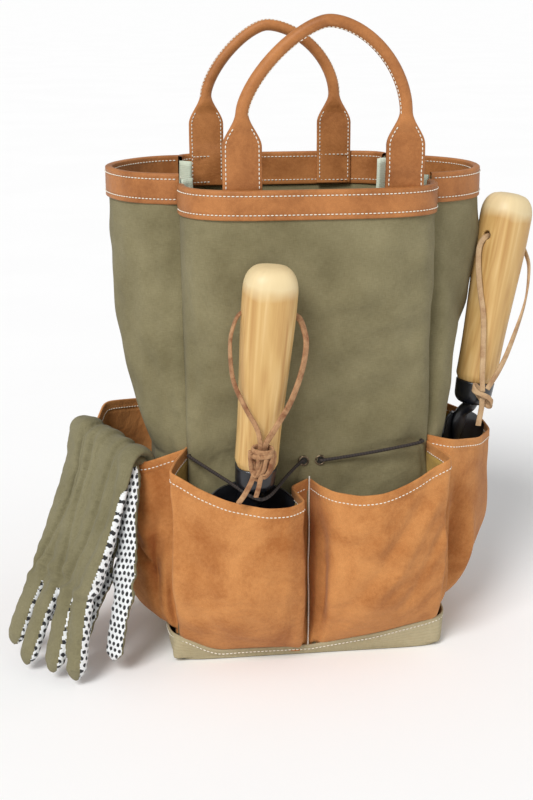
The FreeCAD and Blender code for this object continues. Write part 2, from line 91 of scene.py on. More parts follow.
# corner seams and lobes at the base, the waist and the rim
SEAM_X = (88.0, 82.0, high("front_rim_band")[0] - SKIN)
REAR_SEAM_X = (88.0, 82.0, high("rear_rim_band")[0] - SKIN)
SEAM_FRONT = (66.0, 62.0, 51.0)
SEAM_REAR = (66.0, 62.0, 60.0)
FRONT_Y = (73.0, 77.0, -low("front_rim_band")[1] - SKIN)
REAR_Y = (73.0, 75.0, high("rear_rim_band")[1] - SKIN)
EAR_OUT = high("right_rim_band")[0] - SKIN
EAR_X = (94.0, 104.0, EAR_OUT)
PANEL_N = 3.4  # how square the front and rear lobes are in plan
EAR_N = 1.9  # the same for the side lobes
EAR_EASE = {"left": 0.6, "right": 1.3}  # below 1 a side lobe opens soon above the waist, above 1 late

LIP_EASE = 9.0  # how softly the pockets' lips rise and fall
HEM = 8.0  # depth of the turned-over hem at each pocket's lip
HEM_SEAM = 2.2  # the hem's stitches above its lower edge
SEWN_IN = 3.5  # how far the pockets' feet reach below the base band's edge
STITCH_PITCH = 2.7
STITCH_LENGTH = 2.0
STITCH_RADIUS = 0.34
STITCH_FLATNESS = 1.15  # width of a stitch against its height
# place along half a stitch, share of its full size, and lift off the surface
STITCH_SECTIONS = (
    (-1.0, 0.05, -0.15), (-0.8, 0.75, 0.05), (0.0, 1.0, 0.22), (0.8, 0.75, 0.05), (1.0, 0.05, -0.15),
)
BAND_SEAM = 3.4  # the rim's lower row of stitches above the band's foot
TOP_SEAM = 2.4  # the rim's upper row below its top

STRAP_HALF = 12.5  # half the strap's width
STRAP_THICK = 3.4
ROLL_R = 4.1  # radius where the strap is rolled
HINGE_Z = 336.0
NECK_H = 37.0  # from the hinge line to where the strap is fully rolled
TAB_H = 16.0  # from the hinge line to where it begins to roll


# ---- numbers ----
def mix(a, b, k):
    return a + (b - a) * k


def smooth(k):
    k = np.clip(k, 0.0, 1.0)
    return k * k * (3 - 2 * k)


def bump(x, centre, width):
    return np.exp(-(((x - centre) / width) ** 2))


def lumps(x, y, size, seed):
    """Smooth random rise and fall, about -1 to 1, in lumps of the given size."""
    rng = np.random.default_rng(seed)
    total = 0.0
    for _ in range(8):
        angle, phase = rng.uniform(0, 2 * math.pi, 2)
        wave = size * rng.uniform(0.7, 1.6)
        total = total + np.sin((x * math.cos(angle) + y * math.sin(angle)) * 2 * math.pi / wave + phase)
    return total / 4


def unit(v):
    return v / np.maximum(np.linalg.norm(v, axis=-1, keepdims=True), 1e-9)


def xyz(x, y, z):
    """Points from coordinates that are arrays or single numbers."""
    return np.stack(np.broadcast_arrays(x, y, z), axis=-1)


def round_angles(count):
    return np.linspace(0, 2 * math.pi, count, endpoint=False)


def superellipse(a, half_x, half_y, power):
    """Rounded box at the angles a; power 2 gives an ellipse."""
    c, s = np.cos(a), np.sin(a)
    x = half_x * np.sign(c) * np.abs(c) ** (2 / power)
    return x, half_y * np.sign(s) * np.abs(s) ** (2 / power)


def lengths(points):
    """Distance along a polyline to each of its points."""
    steps = np.linalg.norm(np.diff(points, axis=0), axis=1)
    return np.concatenate([[0.0], np.cumsum(steps)])


def sample(path, values, at):
    """Values given at a path's points, read off at distances along it."""
    along = lengths(path)
    return np.stack([np.interp(at, along, values[:, i]) for i in range(values.shape[1])], axis=1)


def resample(points, count):
    """The polyline again, with evenly spaced points."""
    return sample(points, points, np.linspace(0, lengths(points)[-1], count))


def blurred(values, reach_steps):
    """Values along a line, smoothed over about that many steps; the end values stay."""
    reach = min(len(values) - 1, max(1, int(3 * reach_steps)))
    weights = bump(np.arange(-reach, reach + 1), 0.0, reach_steps)
    before = 2 * values[0] - values[reach:0:-1]
    after = 2 * values[-1] - values[-2 : -reach - 2 : -1]
    return np.convolve(np.concatenate([before, values, after]), weights / weights.sum(), "valid")


def rounded(points, count, radius, height_radius):
    """A polyline through the given corners, rounded off in plan and in height; its ends stay."""
    line = resample(np.array(points, float), count)
    step = lengths(line)[-1] / (count - 1)
    radii = (radius, radius, height_radius)
    return np.stack([blurred(line[:, i], radii[i] / step) for i in range(3)], axis=1)


def curve(points, count):
    """Smooth curve through the given points (Catmull-Rom), evenly sampled."""
    p = np.array(points, float)
    p = np.concatenate([[2 * p[0] - p[1]], p, [2 * p[-1] - p[-2]]])
    out = []
    for a, b, c, d in zip(p, p[1:], p[2:], p[3:]):
        for t in np.linspace(0, 1, 16, endpoint=False):
            square = (2 * a - 5 * b + 4 * c - d) * t**2
            cube = (3 * b - a - 3 * c + d) * t**3
            out.append(0.5 * (2 * b + (c - a) * t + square + cube))
    out.append(p[-2])
    return resample(np.array(out), count)


# ---- meshes ----
class Mesh:
    """Collects grids of points, in millimetres, and turns them into one object."""

    def __init__(self):
        self.points, self.faces, self.uvs, self.slots = [], [], [], []
        self.count = 0

    def grid(self, grid, uv=None, slot=0, round_u=False, flip=False):
        """Adds a surface of rows x columns x 3 points; slot is a material number or one per row."""
        rows, cols = grid.shape[:2]
        if uv is None:
            uv = grid_uv(grid)
        closing = 2 * uv[:, -1:] - uv[:, -2:-1]
        uv = np.concatenate([uv, closing], axis=1)
        last = cols if round_u else cols - 1
        r, c = np.meshgrid(np.arange(rows - 1), np.arange(last), indexing="ij")
        d = (c + 1) % cols
        quad = np.stack([r * cols + c, r * cols + d, (r + 1) * cols + d, (r + 1) * cols + c], axis=-1)
        loops = np.stack([uv[r, c], uv[r, c + 1], uv[r + 1, c + 1], uv[r + 1, c]], axis=-2)
        if flip:
            quad, loops = quad[..., ::-1], loops[..., ::-1, :]
        row_slots = np.broadcast_to(np.array(slot), (rows - 1,))
        self.points.append(grid.reshape(-1, 3))
        self.faces.append(quad.reshape(-1, 4) + self.count)
        self.uvs.append(loops.reshape(-1, 2))
        self.slots.append(np.repeat(row_slots, last))
        self.count += rows * cols
        return self

    def tube(self, path, half_w, half_t=None, wide=None, power=2.0, sides=12):
        """Adds a sweep of superellipse section along a path; half_w lies along the vector wide."""
        path = np.asarray(path, float)
        n = len(path)
        sizes = (half_w, half_w if half_t is None else half_t, power)
        half_w, half_t, power = (np.broadcast_to(np.asarray(size, float), (n,))[:, None] for size in sizes)
        along = unit(np.gradient(path, axis=0))
        if wide is None:
            wide = carried(along)
        wide = np.broadcast_to(np.asarray(wide, float), (n, 3))
        thin = unit(np.cross(along, wide))
        wide = unit(np.cross(thin, along))
        x, y = superellipse(round_angles(sides)[None, :], half_w, half_t, power)
        rings = path[:, None, :] + wide[:, None, :] * x[..., None] + thin[:, None, :] * y[..., None]
        first, last = np.repeat(path[:1, None], sides, 1), np.repeat(path[-1:, None], sides, 1)
        return self.grid(np.concatenate([first, rings, last]), round_u=True)

    def stitches(self, path, normal):
        """Adds a row of thread stitches lying on a surface along a path."""
        path = np.asarray(path, float)
        total = lengths(path)[-1]
        count = int(total / STITCH_PITCH)
        if count < 1:
            return
        at = (np.arange(count) + 0.5) * total / count
        centre = sample(path, path, at)
        tangent = unit(sample(path, np.gradient(path, axis=0), at))
        out = unit(sample(path, np.broadcast_to(np.asarray(normal, float), path.shape), at))
        side = unit(np.cross(tangent, out))
        a = round_angles(6)
        for i in range(count):
            oval = np.outer(np.cos(a), side[i]) * STITCH_FLATNESS + np.outer(np.sin(a), out[i])
            rings = []
            for place, size, lift in STITCH_SECTIONS:
                middle = centre[i] + tangent[i] * (place * STITCH_LENGTH / 2) + out[i] * lift
                rings.append(middle + oval * STITCH_RADIUS * size)
            self.grid(np.array(rings), round_u=True)

    def build(self, name, materials, slot, replaces=(), body="bag", weld=True):
        """Makes the object; it rides on a body and stands for the CAD nodes it replaces."""
        mesh = bpy.data.meshes.new(name)
        points = np.concatenate(self.points) * MM
        mesh.from_pydata(points.tolist(), [], np.concatenate(self.faces).tolist())
        layer = mesh.uv_layers.new(name="UVMap")
        layer.data.foreach_set("uv", np.concatenate(self.uvs).astype(np.float32).ravel())
        mesh.polygons.foreach_set("material_index", np.concatenate(self.slots).astype(np.int32))
        for material in materials:
            mesh.materials.append(material)
        if weld:
            b = bmesh.new()
            b.from_mesh(mesh)
            bmesh.ops.remove_doubles(b, verts=b.verts, dist=0.00001)
            bmesh.ops.dissolve_degenerate(b, edges=b.edges, dist=0.000001)
            b.to_mesh(mesh)
            b.free()
        mesh.shade_smooth()
        obj = bpy.data.objects.new(name, mesh)
        bpy.context.scene.collection.objects.link(obj)
        if body:
            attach(obj, body)
        if replaces:
            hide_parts(*replaces)
        return obj

    def sew(self, name, body="bag"):
        """Makes the object from stitches alone."""
        return self.build(name, [THREAD], "thread_piping", (), body)


def carried(along):
    """Vectors across a path, turned as little as possible from point to point."""
    start = np.array([0.0, 0.0, 1.0]) if abs(along[0][2]) < 0.9 else np.array([1.0, 0.0, 0.0])
    out = [unit(np.cross(along[0], start))]
    for t in along[1:]:
        out.append(unit(out[-1] - t * np.dot(out[-1], t)))
    return np.array(out)


def grid_uv(grid):
    """Surface distances in millimetres along a grid's columns and rows."""
    middle_row = grid[grid.shape[0] // 2]
    middle_col = grid[:, grid.shape[1] // 2]
    u, v = lengths(middle_row), lengths(middle_col)
    return np.stack(np.broadcast_arrays(u[None, :], v[:, None]), axis=-1)


def normals(grid):
    """Outward normals of a grid whose columns run to the right and rows run up, seen from outside."""
    across, up = np.gradient(grid, axis=1), np.gradient(grid, axis=0)
    return unit(np.cross(across, up))


def turned_over(grid, thickness, hem_rows):
    """Outside, lip and inside of a thin wall as one grid of rows, and the first inner row past
    the hem."""
    n = normals(grid)
    inner = grid - n * thickness
    up = unit(grid[-1] - grid[-2])
    middle = (grid[-1] + inner[-1]) / 2
    lip = []
    for angle in (35, 90, 145):
        a = math.radians(angle)
        lip.append(middle + (n[-1] * math.cos(a) + up * math.sin(a)) * thickness / 2)
    rows = np.concatenate([grid, np.array(lip), inner[::-1]])
    return rows, len(grid) + 3 + hem_rows


# ---- materials ----
class Nodes:
    """Short names for building a shader tree."""

    def __init__(self, name, roughness=0.7, sheen=0.0, gloss=0.5):
        self.material = bpy.data.materials.new(name)
        self.material.use_nodes = True
        self.tree = self.material.node_tree
        self.shader = self.tree.nodes["Principled BSDF"]
        surface = (("Roughness", roughness), ("Specular IOR Level", gloss), ("Sheen Weight", sheen))
        for key, value in (*surface, ("Sheen Roughness", 0.6)):
            self.shader.inputs[key].default_value = value

    def add(self, kind, **settings):
        node = self.tree.nodes.new(kind)
        for key, value in settings.items():
            setattr(node, key, value)
        return node

    def link(self, source, target):
        self.tree.links.new(source, target)

    def uv(self):
        return self.add("ShaderNodeUVMap", uv_map="UVMap").outputs[0]

    def place(self):
        return self.add("ShaderNodeTexCoord").outputs["Object"]

    def split(self, vector):
        """The first two parts of a vector."""
        node = self.add("ShaderNodeSeparateXYZ")
        self.link(vector, node.inputs[0])
        return node.outputs[0], node.outputs[1]

    def scaled(self, vector, scale):
        node = self.add("ShaderNodeMapping")
        self.link(vector, node.inputs["Vector"])
        node.inputs["Scale"].default_value = scale
        return node.outputs[0]

    def noise(self, vector, scale, detail=4.0, rough=0.55, distortion=0.0):
        node = self.add("ShaderNodeTexNoise")
        self.link(vector, node.inputs["Vector"])
        node.inputs["Scale"].default_value = scale
        node.inputs["Detail"].default_value = detail
        node.inputs["Roughness"].default_value = rough
        node.inputs["Distortion"].default_value = distortion
        return node.outputs["Fac"]

    def maths(self, operation, a, b=None, c=None):
        node = self.add("ShaderNodeMath", operation=operation)
        for socket, value in zip(node.inputs, (a, b, c)):
            if value is None:
                continue
            if isinstance(value, (int, float)):
                socket.default_value = value
            else:
                self.link(value, socket)
        return node.outputs[0]

    def times(self, a, b):
        return self.maths("MULTIPLY", a, b)

    def plus(self, a, b):
        return self.maths("ADD", a, b)

    def minus(self, a, b):
        return self.maths("SUBTRACT", a, b)

    def times_plus(self, a, b, c):
        return self.maths("MULTIPLY_ADD", a, b, c)

    def ramp(self, factor, *stops):
        node = self.add("ShaderNodeValToRGB")
        elements = node.color_ramp.elements
        while len(elements) < len(stops):
            elements.new(0.5)
        for element, (place, colour) in zip(elements, stops):
            element.position = place
            element.color = (*colour, 1.0)
        self.link(factor, node.inputs[0])
        return node.outputs[0]

    def blend(self, factor, a, b, mode="MIX"):
        node = self.add("ShaderNodeMix", data_type="RGBA", blend_type=mode)
        for socket, value in ((node.inputs[0], factor), (node.inputs[6], a), (node.inputs[7], b)):
            if isinstance(value, (int, float)):
                socket.default_value = value
            elif isinstance(value, tuple):
                socket.default_value = (*value, 1.0)
            else:
                self.link(value, socket)
        return node.outputs[2]

    def bump(self, height, strength, distance):
        """Adds a bump, distance in metres, on top of those already there."""
        node = self.add("ShaderNodeBump")
        node.inputs["Strength"].default_value = strength
        node.inputs["Distance"].default_value = distance
        self.link(height, node.inputs["Height"])
        existing = self.shader.inputs["Normal"].links
        if existing:
            self.link(existing[0].from_socket, node.inputs["Normal"])
        self.link(node.outputs[0], self.shader.inputs["Normal"])

    def colour(self, socket):
        self.link(socket, self.shader.inputs["Base Color"])

    def rough(self, socket):
        self.link(socket, self.shader.inputs["Roughness"])


def weave_height(n, uv, pitch):
    """Over-and-under threads of a plain weave, pitch in millimetres."""
    u, v = (n.times(part, math.pi / pitch) for part in n.split(uv))
    warp = n.maths("ABSOLUTE", n.maths("SINE", u))
    weft = n.maths("ABSOLUTE", n.maths("SINE", v))
    over = n.times(n.maths("COSINE", u), n.maths("COSINE", v))
    over = n.times_plus(over, 0.5, 0.5)
    return n.plus(n.times(warp, over), n.times(weft, n.minus(1.0, over)))


def cloth(name, dark, light, pitch=0.62, fuzz=0.04):
    """Woven cotton: threads, uneven yarn, faded patches and fine creases."""
    n = Nodes(name, 0.9, fuzz, gloss=0.2)
    uv, place = n.uv(), n.place()
    weave = weave_height(n, uv, pitch)
    yarn = n.noise(n.scaled(uv, (0.25, 2.2, 1.0)), 1.0, 3.0)
    yarn_across = n.noise(n.scaled(uv, (2.2, 0.25, 1.0)), 1.0, 3.0)
    patches = n.noise(place, 22.0, 5.0, 0.6)
    tone = n.plus(n.times(patches, 0.55), n.times(yarn, 0.25))
    tone = n.plus(tone, n.times(yarn_across, 0.2))
    base = n.ramp(tone, (0.36, dark), (0.64, light))
    shade = n.ramp(weave, (0.0, (0.66, 0.66, 0.66)), (0.7, (1.0, 1.0, 1.0)))
    n.colour(n.blend(0.6, base, shade, "MULTIPLY"))
    n.bump(weave, 0.5, 0.00014)
    n.bump(n.noise(place, 70.0, 6.0, 0.65), 0.5, 0.0012)
    n.bump(n.noise(place, 17.0, 3.0, 0.5, 1.2), 0.55, 0.006)
    return n.material


def leather(name, dark, light, roughness=0.5, grain=0.5, fuzz=0.02, clouds=30.0, gloss=0.3):
    """Leather: cloudy colour, fine pores and creases, rubbed lighter in places."""
    n = Nodes(name, roughness, fuzz, gloss)
    place = n.place()
    cloud = n.noise(place, clouds, 6.0, 0.62, 0.4)
    fine = n.noise(place, 420.0, 4.0, 0.6)
    tone = n.plus(n.times(cloud, 0.8), n.times(fine, 0.2))
    base = n.ramp(tone, (0.34, dark), (0.52, mix_colour(dark, light, 0.6)), (0.68, light))
    pores = n.add("ShaderNodeTexVoronoi", feature="DISTANCE_TO_EDGE")
    n.link(place, pores.inputs["Vector"])
    pores.inputs["Scale"].default_value = 900.0
    edge = n.maths("MINIMUM", pores.outputs["Distance"], 0.25)
    n.colour(n.blend(0.35, base, n.ramp(edge, (0.0, (0.7, 0.7, 0.7)), (0.2, (1, 1, 1))), "MULTIPLY"))
    n.rough(n.times_plus(cloud, 0.25, roughness - 0.1))
    n.bump(edge, 0.3 * grain, 0.0006)
    n.bump(n.noise(place, 150.0, 5.0, 0.6, 0.5), 0.4 * grain, 0.0009)
    n.bump(n.noise(place, 26.0, 4.0, 0.55, 1.0), 0.5 * grain, 0.005)
    return n.material


def mix_colour(a, b, k):
    return tuple(mix(x, y, k) for x, y in zip(a, b))


def wood(name):
    """Oiled ash: long grain along the handle and pale end grain, in the handle's own frame."""
    dark, middle, light = (0.46, 0.245, 0.075), (0.60, 0.375, 0.135), (0.71, 0.49, 0.22)
    end_grain, sanded_from = (0.74, 0.61, 0.36), 132.0
    n = Nodes(name, 0.42)
    uv = n.uv()
    _, height = n.split(uv)
    streaks = n.noise(n.scaled(uv, (0.30, 0.012, 1.0)), 1.0, 7.0, 0.55, 0.5)
    rings = n.noise(n.scaled(uv, (0.055, 0.006, 1.0)), 1.0, 2.0, 0.5, 0.8)
    wave = n.maths("SINE", n.times(rings, 42.0))
    tone = n.plus(n.times(streaks, 0.6), n.times_plus(wave, 0.07, 0.2))
    base = n.ramp(tone, (0.32, dark), (0.52, middle), (0.70, light))
    sanded = n.times(n.minus(height, sanded_from), 0.11)
    sanded = n.plus(sanded, n.minus(n.noise(n.place(), 60.0, 2.0), 0.5))
    sanded = n.maths("MINIMUM", n.maths("MAXIMUM", sanded, 0.0), 0.8)
    n.colour(n.blend(sanded, base, end_grain))
    n.rough(n.times_plus(streaks, 0.2, 0.38))
    n.bump(streaks, 0.2, 0.0006)
    return n.material


def coated_steel(name):
    """Black powder coat with a slight orange peel and rubbed, greyer patches."""
    n = Nodes(name, 0.38)
    place = n.place()
    worn = n.noise(place, 55.0, 6.0, 0.65)
    n.colour(n.ramp(worn, (0.45, (0.006, 0.007, 0.010)), (0.7, (0.02, 0.023, 0.03))))
    n.rough(n.times_plus(worn, 0.3, 0.22))
    n.shader.inputs["Coat Weight"].default_value = 0.3
    n.bump(n.noise(place, 900.0, 2.0), 0.15, 0.0003)
    return n.material


def dotted_knit(name):
    """White knit with round black rubber dots in staggered rows."""
    n = Nodes(name, 0.8, 0.1)
    uv = n.uv()
    pitch, radius = 4.3, 0.33
    across, up = n.split(n.scaled(uv, (1 / pitch, 1 / pitch, 1.0)))
    shifted = n.times_plus(n.maths("FLOOR", up), 0.5, across)
    x = n.minus(n.maths("FRACT", shifted), 0.5)
    y = n.minus(n.maths("FRACT", up), 0.5)
    distance = n.maths("SQRT", n.plus(n.times(x, x), n.times(y, y)))
    dot = n.maths("LESS_THAN", distance, radius)
    knit = n.noise(n.scaled(uv, (1.0, 2.5, 1.0)), 1.2, 2.0)
    white = n.ramp(knit, (0.3, (0.60, 0.62, 0.62)), (0.7, (0.86, 0.87, 0.87)))
    n.colour(n.blend(dot, white, (0.012, 0.012, 0.014)))
    dome = n.maths("MAXIMUM", n.minus(radius, distance), 0.0)
    n.bump(dome, 0.8, 0.0008)
    n.bump(knit, 0.3, 0.0004)
    return n.material


def speckled(name, dark, light, grain, relief, roughness=0.7, sheen=0.1):
    """A plain surface with fine specks of two tones; grain is their fineness, detail and threshold."""
    n = Nodes(name, roughness, sheen)
    fineness, detail, threshold = grain
    specks = n.noise(n.place(), fineness, detail)
    n.colour(n.ramp(specks, (threshold, dark), (0.7, light)))
    n.bump(specks, *relief)
    return n


def thread(name, colour):
    """Twisted cotton thread."""
    dark = tuple(c * 0.75 for c in colour)
    return speckled(name, dark, colour, (1800.0, 2.0, 0.3), (0.3, 0.0002)).material


def braided(name, dark, light):
    """Round braided cord; the braid follows the cord's own surface distances."""
    n = Nodes(name, 0.75)
    across, along = n.split(n.uv())
    turn, run = n.times(across, 1.9), n.times(along, 1.6)
    strands = n.times(n.maths("SINE", n.plus(turn, run)), n.maths("SINE", n.minus(turn, run)))
    strands = n.times_plus(strands, 0.5, 0.5)
    n.colour(n.ramp(strands, (0.1, dark), (0.9, light)))
    n.bump(strands, 0.5, 0.0004)
    return n.material


def bronze(name):
    """Dark oxidised metal, rubbed bright in places."""
    dark, light = (0.10, 0.07, 0.045), (0.36, 0.28, 0.18)
    n = speckled(name, dark, light, (260.0, 4.0, 0.4), (0.2, 0.0003), 0.35, 0.0)
    n.shader.inputs["Metallic"].default_value = 0.9
    return n.material


def fibre_board(name):
    dark, light = (0.16, 0.13, 0.09), (0.30, 0.25, 0.18)
    return speckled(name, dark, light, (500.0, 5.0, 0.4), (0.3, 0.0003), 0.8, 0.0).material


CANVAS_CLOTH = cloth("canvas", (0.150, 0.127, 0.062), (0.262, 0.228, 0.125))
BASE_CLOTH = cloth("base_canvas", (0.34, 0.285, 0.165), (0.47, 0.405, 0.26), pitch=0.8)
TAPE_CLOTH = cloth("binding_tape", (0.52, 0.58, 0.44), (0.74, 0.80, 0.66), pitch=1.3)
RIM_LEATHER = leather("rim_leather", (0.27, 0.092, 0.022), (0.50, 0.200, 0.060), 0.5)
NUBUCK_DARK, NUBUCK_LIGHT = (0.36, 0.125, 0.030), (0.62, 0.280, 0.092)
POCKET_LEATHER = leather("pocket_leather", NUBUCK_DARK, NUBUCK_LIGHT, 0.75, 0.8, 0.05, 24.0, 0.15)
SUEDE = leather("suede", (0.34, 0.20, 0.035), (0.52, 0.34, 0.08), 0.9, 0.9, 0.1, 60.0, 0.1)
LACE_LEATHER = leather("lace_leather", (0.20, 0.075, 0.03), (0.52, 0.30, 0.15), 0.8, 0.9, 0.05, 140.0, 0.2)
PALE_LACE = leather("pale_lace", (0.36, 0.20, 0.10), (0.60, 0.42, 0.24), 0.75, 0.8, 0.05, 90.0, 0.2)
WOOD = wood("grip_wood")
STEEL = coated_steel("tool_steel")
THREAD = thread("white_thread", (0.86, 0.80, 0.68))
PIPING = thread("piping_thread", (0.86, 0.80, 0.70))
CORD = braided("elastic_cord", (0.008, 0.005, 0.004), (0.045, 0.030, 0.024))
BRONZE = bronze("eyelet_metal")
BOARD = fibre_board("board")
# painted shadow: near-black speckled material for the flat discs that close the eyelets' holes, where the
# bag's inside is in shade
PAINTED_HOLE_SHADOW = thread("painted_hole_shadow", (0.02, 0.018, 0.012))
GLOVE_BACK = cloth("glove_back", (0.150, 0.132, 0.068), (0.235, 0.210, 0.120), pitch=0.75, fuzz=0.08)
GLOVE_PALM = dotted_knit("glove_palm")


# ---- the bag's body ----
def level(table, z, ease=None):
    """A plan dimension at height z, eased from its base value through the waist to the rim."""
    base, waist, rim = table
    below = mix(base, waist, smooth((z - UPTURN_Z) / (WAIST_Z - UPTURN_Z)))
    k = np.clip((z - WAIST_Z) / (UPRIGHT_Z - WAIST_Z), 0.0, 1.0)
    shape = smooth(k) if ease is None else np.sin(k * math.pi / 2) ** ease
    return np.where(z <= WAIST_Z, below, mix(waist, rim, shape))


def lobe(side, s, z):
    """Point of the canvas surface; s runs from -1 to 1 along the side, left to right from outside."""
    x, rear_x = level(SEAM_X, z), level(REAR_SEAM_X, z)
    front, rear = level(SEAM_FRONT, z), level(SEAM_REAR, z)
    f = np.sin(s * math.pi / 2)
    if side in ("front", "rear"):
        sign, half, near, lobe_y = (-1, x, front, FRONT_Y) if side == "front" else (1, rear_x, rear, REAR_Y)
        rise = (1 - np.abs(f) ** PANEL_N) ** (1 / PANEL_N)
        return xyz(-sign * half * f, sign * (near + (level(lobe_y, z) - near) * rise), z)
    sign = 1 if side == "right" else -1
    to_rear = (1 + sign * f) / 2
    depth = level(EAR_X, z, EAR_EASE[side]) - (x + rear_x) / 2
    rise = np.maximum(1 - np.abs(f) ** EAR_N, 0) ** (1 / EAR_N)
    return xyz(sign * (mix(x, rear_x, to_rear) + depth * rise), mix(-front, rear, to_rear), z)


def wall(side, s, z, out=0.0, folds=True):
    """The canvas surface moved outwards, with its soft folds."""
    s, z = np.broadcast_arrays(np.asarray(s, float), np.asarray(z, float))
    step = 0.004
    here = lobe(side, s, z)
    along = lobe(side, np.minimum(s + step, 1), z) - lobe(side, np.maximum(s - step, -1), z)
    normal = unit(xyz(along[..., 1], -along[..., 0], 0.0))
    push = out + (canvas_folds(side, s, z) if folds else 0.0)
    return here + normal * np.asarray(push)[..., None]


def canvas_folds(side, s, z):
    """How far the cloth stands out from, or sinks below, its smooth shape."""
    quiet = smooth((BAND_FOOT[side] + 6 - z) / 40.0) * smooth(0.2 + (1 - np.abs(s)) / 0.25)
    seed = SIDES.index(side) * 10
    rise = 2.2 * lumps(s * 90, z * 0.45, 70.0, seed) + 0.9 * lumps(s * 90, z, 26.0, seed + 1)
    if side in ("front", "rear"):
        near_cord = bump(z, WAIST_Z + 14, 34.0)
        spokes = np.cos(7.0 * np.arctan2(z - WAIST_Z + 30, s * 85))
        rise = rise + 1.3 * near_cord * spokes * smooth(np.abs(s) / 0.2)
        rise = rise - 2.4 * bump(z, WAIST_Z, 12.0) * smooth((np.abs(s) - 0.1) / 0.3)
        rise = rise + 1.8 * bump(s, 0.0, 0.06) * bump(z, WAIST_Z, 26.0)
    else:
        rise = rise + 1.6 * np.cos(s * 7.0 + z * 0.025) * bump(z, 210.0, 75.0)
        rise = rise - 2.0 * bump(s, -0.35 if side == "left" else 0.35, 0.22) * bump(z, 235.0, 60.0)
    return rise * quiet * smooth((z - 24.0) / 40.0)


def canvas_panel(side):
    s = np.linspace(-1, 1, 181)[None, :]
    z = np.linspace(4.0, RIM_TOP[side] - 3.0, 260)[:, None]
    outer = wall(side, s, z)
    rows, _ = turned_over(outer, CANVAS, 0)
    mesh = Mesh().grid(rows)
    node = {"front": "front_panel", "rear": "rear_panel"}.get(side, side + "_side_panel")
    mesh.build(node + "_cloth", [CANVAS_CLOTH], "canvas", [node])


def rim_line(side, s, z, out):
    """A point on the rim band; the band waves a little in and out along its length."""
    wave = 0.5 * lumps(s * 90, 0 * z, 60.0, SIDES.index(side) + 60)
    return wall(side, s, z, out + wave * smooth((1 - np.abs(s)) / 0.2), folds=False)


def rim_section(side):
    """Section of the rim band as (outwards, height): from its outer foot, over the top, to its inner."""
    outside, inside = SKIN, -CANVAS - SKIN
    round_top, edge = 1.2, 0.4
    top, foot = RIM_TOP[side] - round_top, BAND_FOOT[side]
    middle, half = (outside + inside) / 2, (outside - inside) / 2
    section = [(0.3, foot), (outside - edge, foot), (outside, foot + 0.5)]
    for z in np.linspace(foot + 1, top - 1, 26):
        groove = bump(z, foot + BAND_SEAM, 0.9) + bump(z, top - TOP_SEAM, 0.9)
        section.append((outside - 0.35 * groove, z))
    for angle in np.linspace(0, math.pi, 9):
        section.append((middle + half * math.cos(angle), top + round_top * math.sin(angle)))
    section += [(inside, z) for z in np.linspace(top - 1, foot + 0.5, 14)]
    section += [(inside + edge, foot), (-CANVAS - 0.3, foot)]
    return np.array(section), (foot + BAND_SEAM, top - TOP_SEAM)


def rim_band(side, threads):
    """Leather folded over the canvas edge, with two rows of stitches on both faces."""
    section, seams = rim_section(side)
    s = np.linspace(-0.995, 0.995, 150)
    grid = rim_line(side, s[None, :], section[:, 1:] + 0 * s, section[:, :1])
    Mesh().grid(grid).build(side + "_rim_leather", [RIM_LEATHER], "rim_leather", [side + "_rim_band"])
    line = np.linspace(-0.97, 0.97, 160)
    for height in seams:
        for face, sign in ((SKIN, 1), (-CANVAS - SKIN, -1)):
            path = rim_line(side, line, height + 0 * line, face)
            threads.stitches(path, rim_line(side, line, height + 0 * line, face + sign) - path)


def seam_binding(x_side, y_side, node):
    """Folded cotton tape round the seam allowance, standing in from a corner seam."""
    half_w, half_t, stand_in = 5.2, 1.5, 6.8
    z = np.linspace(12.0, high(node)[2] - 7.0, 90)
    seam_x, seam_y = (SEAM_X, SEAM_FRONT) if y_side < 0 else (REAR_SEAM_X, SEAM_REAR)
    corner = xyz(x_side * level(seam_x, z), y_side * level(seam_y, z), z)
    inward = unit(np.array([-x_side, -y_side, 0.0]))
    across = np.array([-inward[1], inward[0], 0.0])
    sway = 0.8 * lumps(z, 0 * z, 45.0, 80 + x_side + 3 * y_side)
    centre = corner + inward * stand_in + across * sway[:, None]
    mesh = Mesh().tube(centre, half_w, half_t, inward, 6.0, 20)
    mesh.build(node + "_tape", [TAPE_CLOTH], "binding_tape", [node])
    threads = Mesh()
    for side in (-1, 1):
        path = centre[2:-3] - inward * (half_w - 2.0) + across * side * half_t
        threads.stitches(path, across * side)
    threads.sew(node + "_stitches")


# ---- base ----
def base_top(x):
    """Height of the base band's upper edge: low in the middle, rising to the right and at the left end."""
    right = 16.0 * np.maximum(x / BASE_HALF[0], 0) ** 1.3
    left = 11.5 * smooth((-x / BASE_HALF[0] - 0.62) / 0.38)
    return 7.5 + right + left + 0.3 * np.sin(x * 0.11)


def base_outline(scale, count=260, squareness=FLOOR_SQUARENESS):
    """Plan of the base, scaled from its CAD size, with its corners rounded off."""
    a = round_angles(count) - math.pi / 2
    return superellipse(a, BASE_HALF[0] * scale, BASE_HALF[1] * scale, squareness)


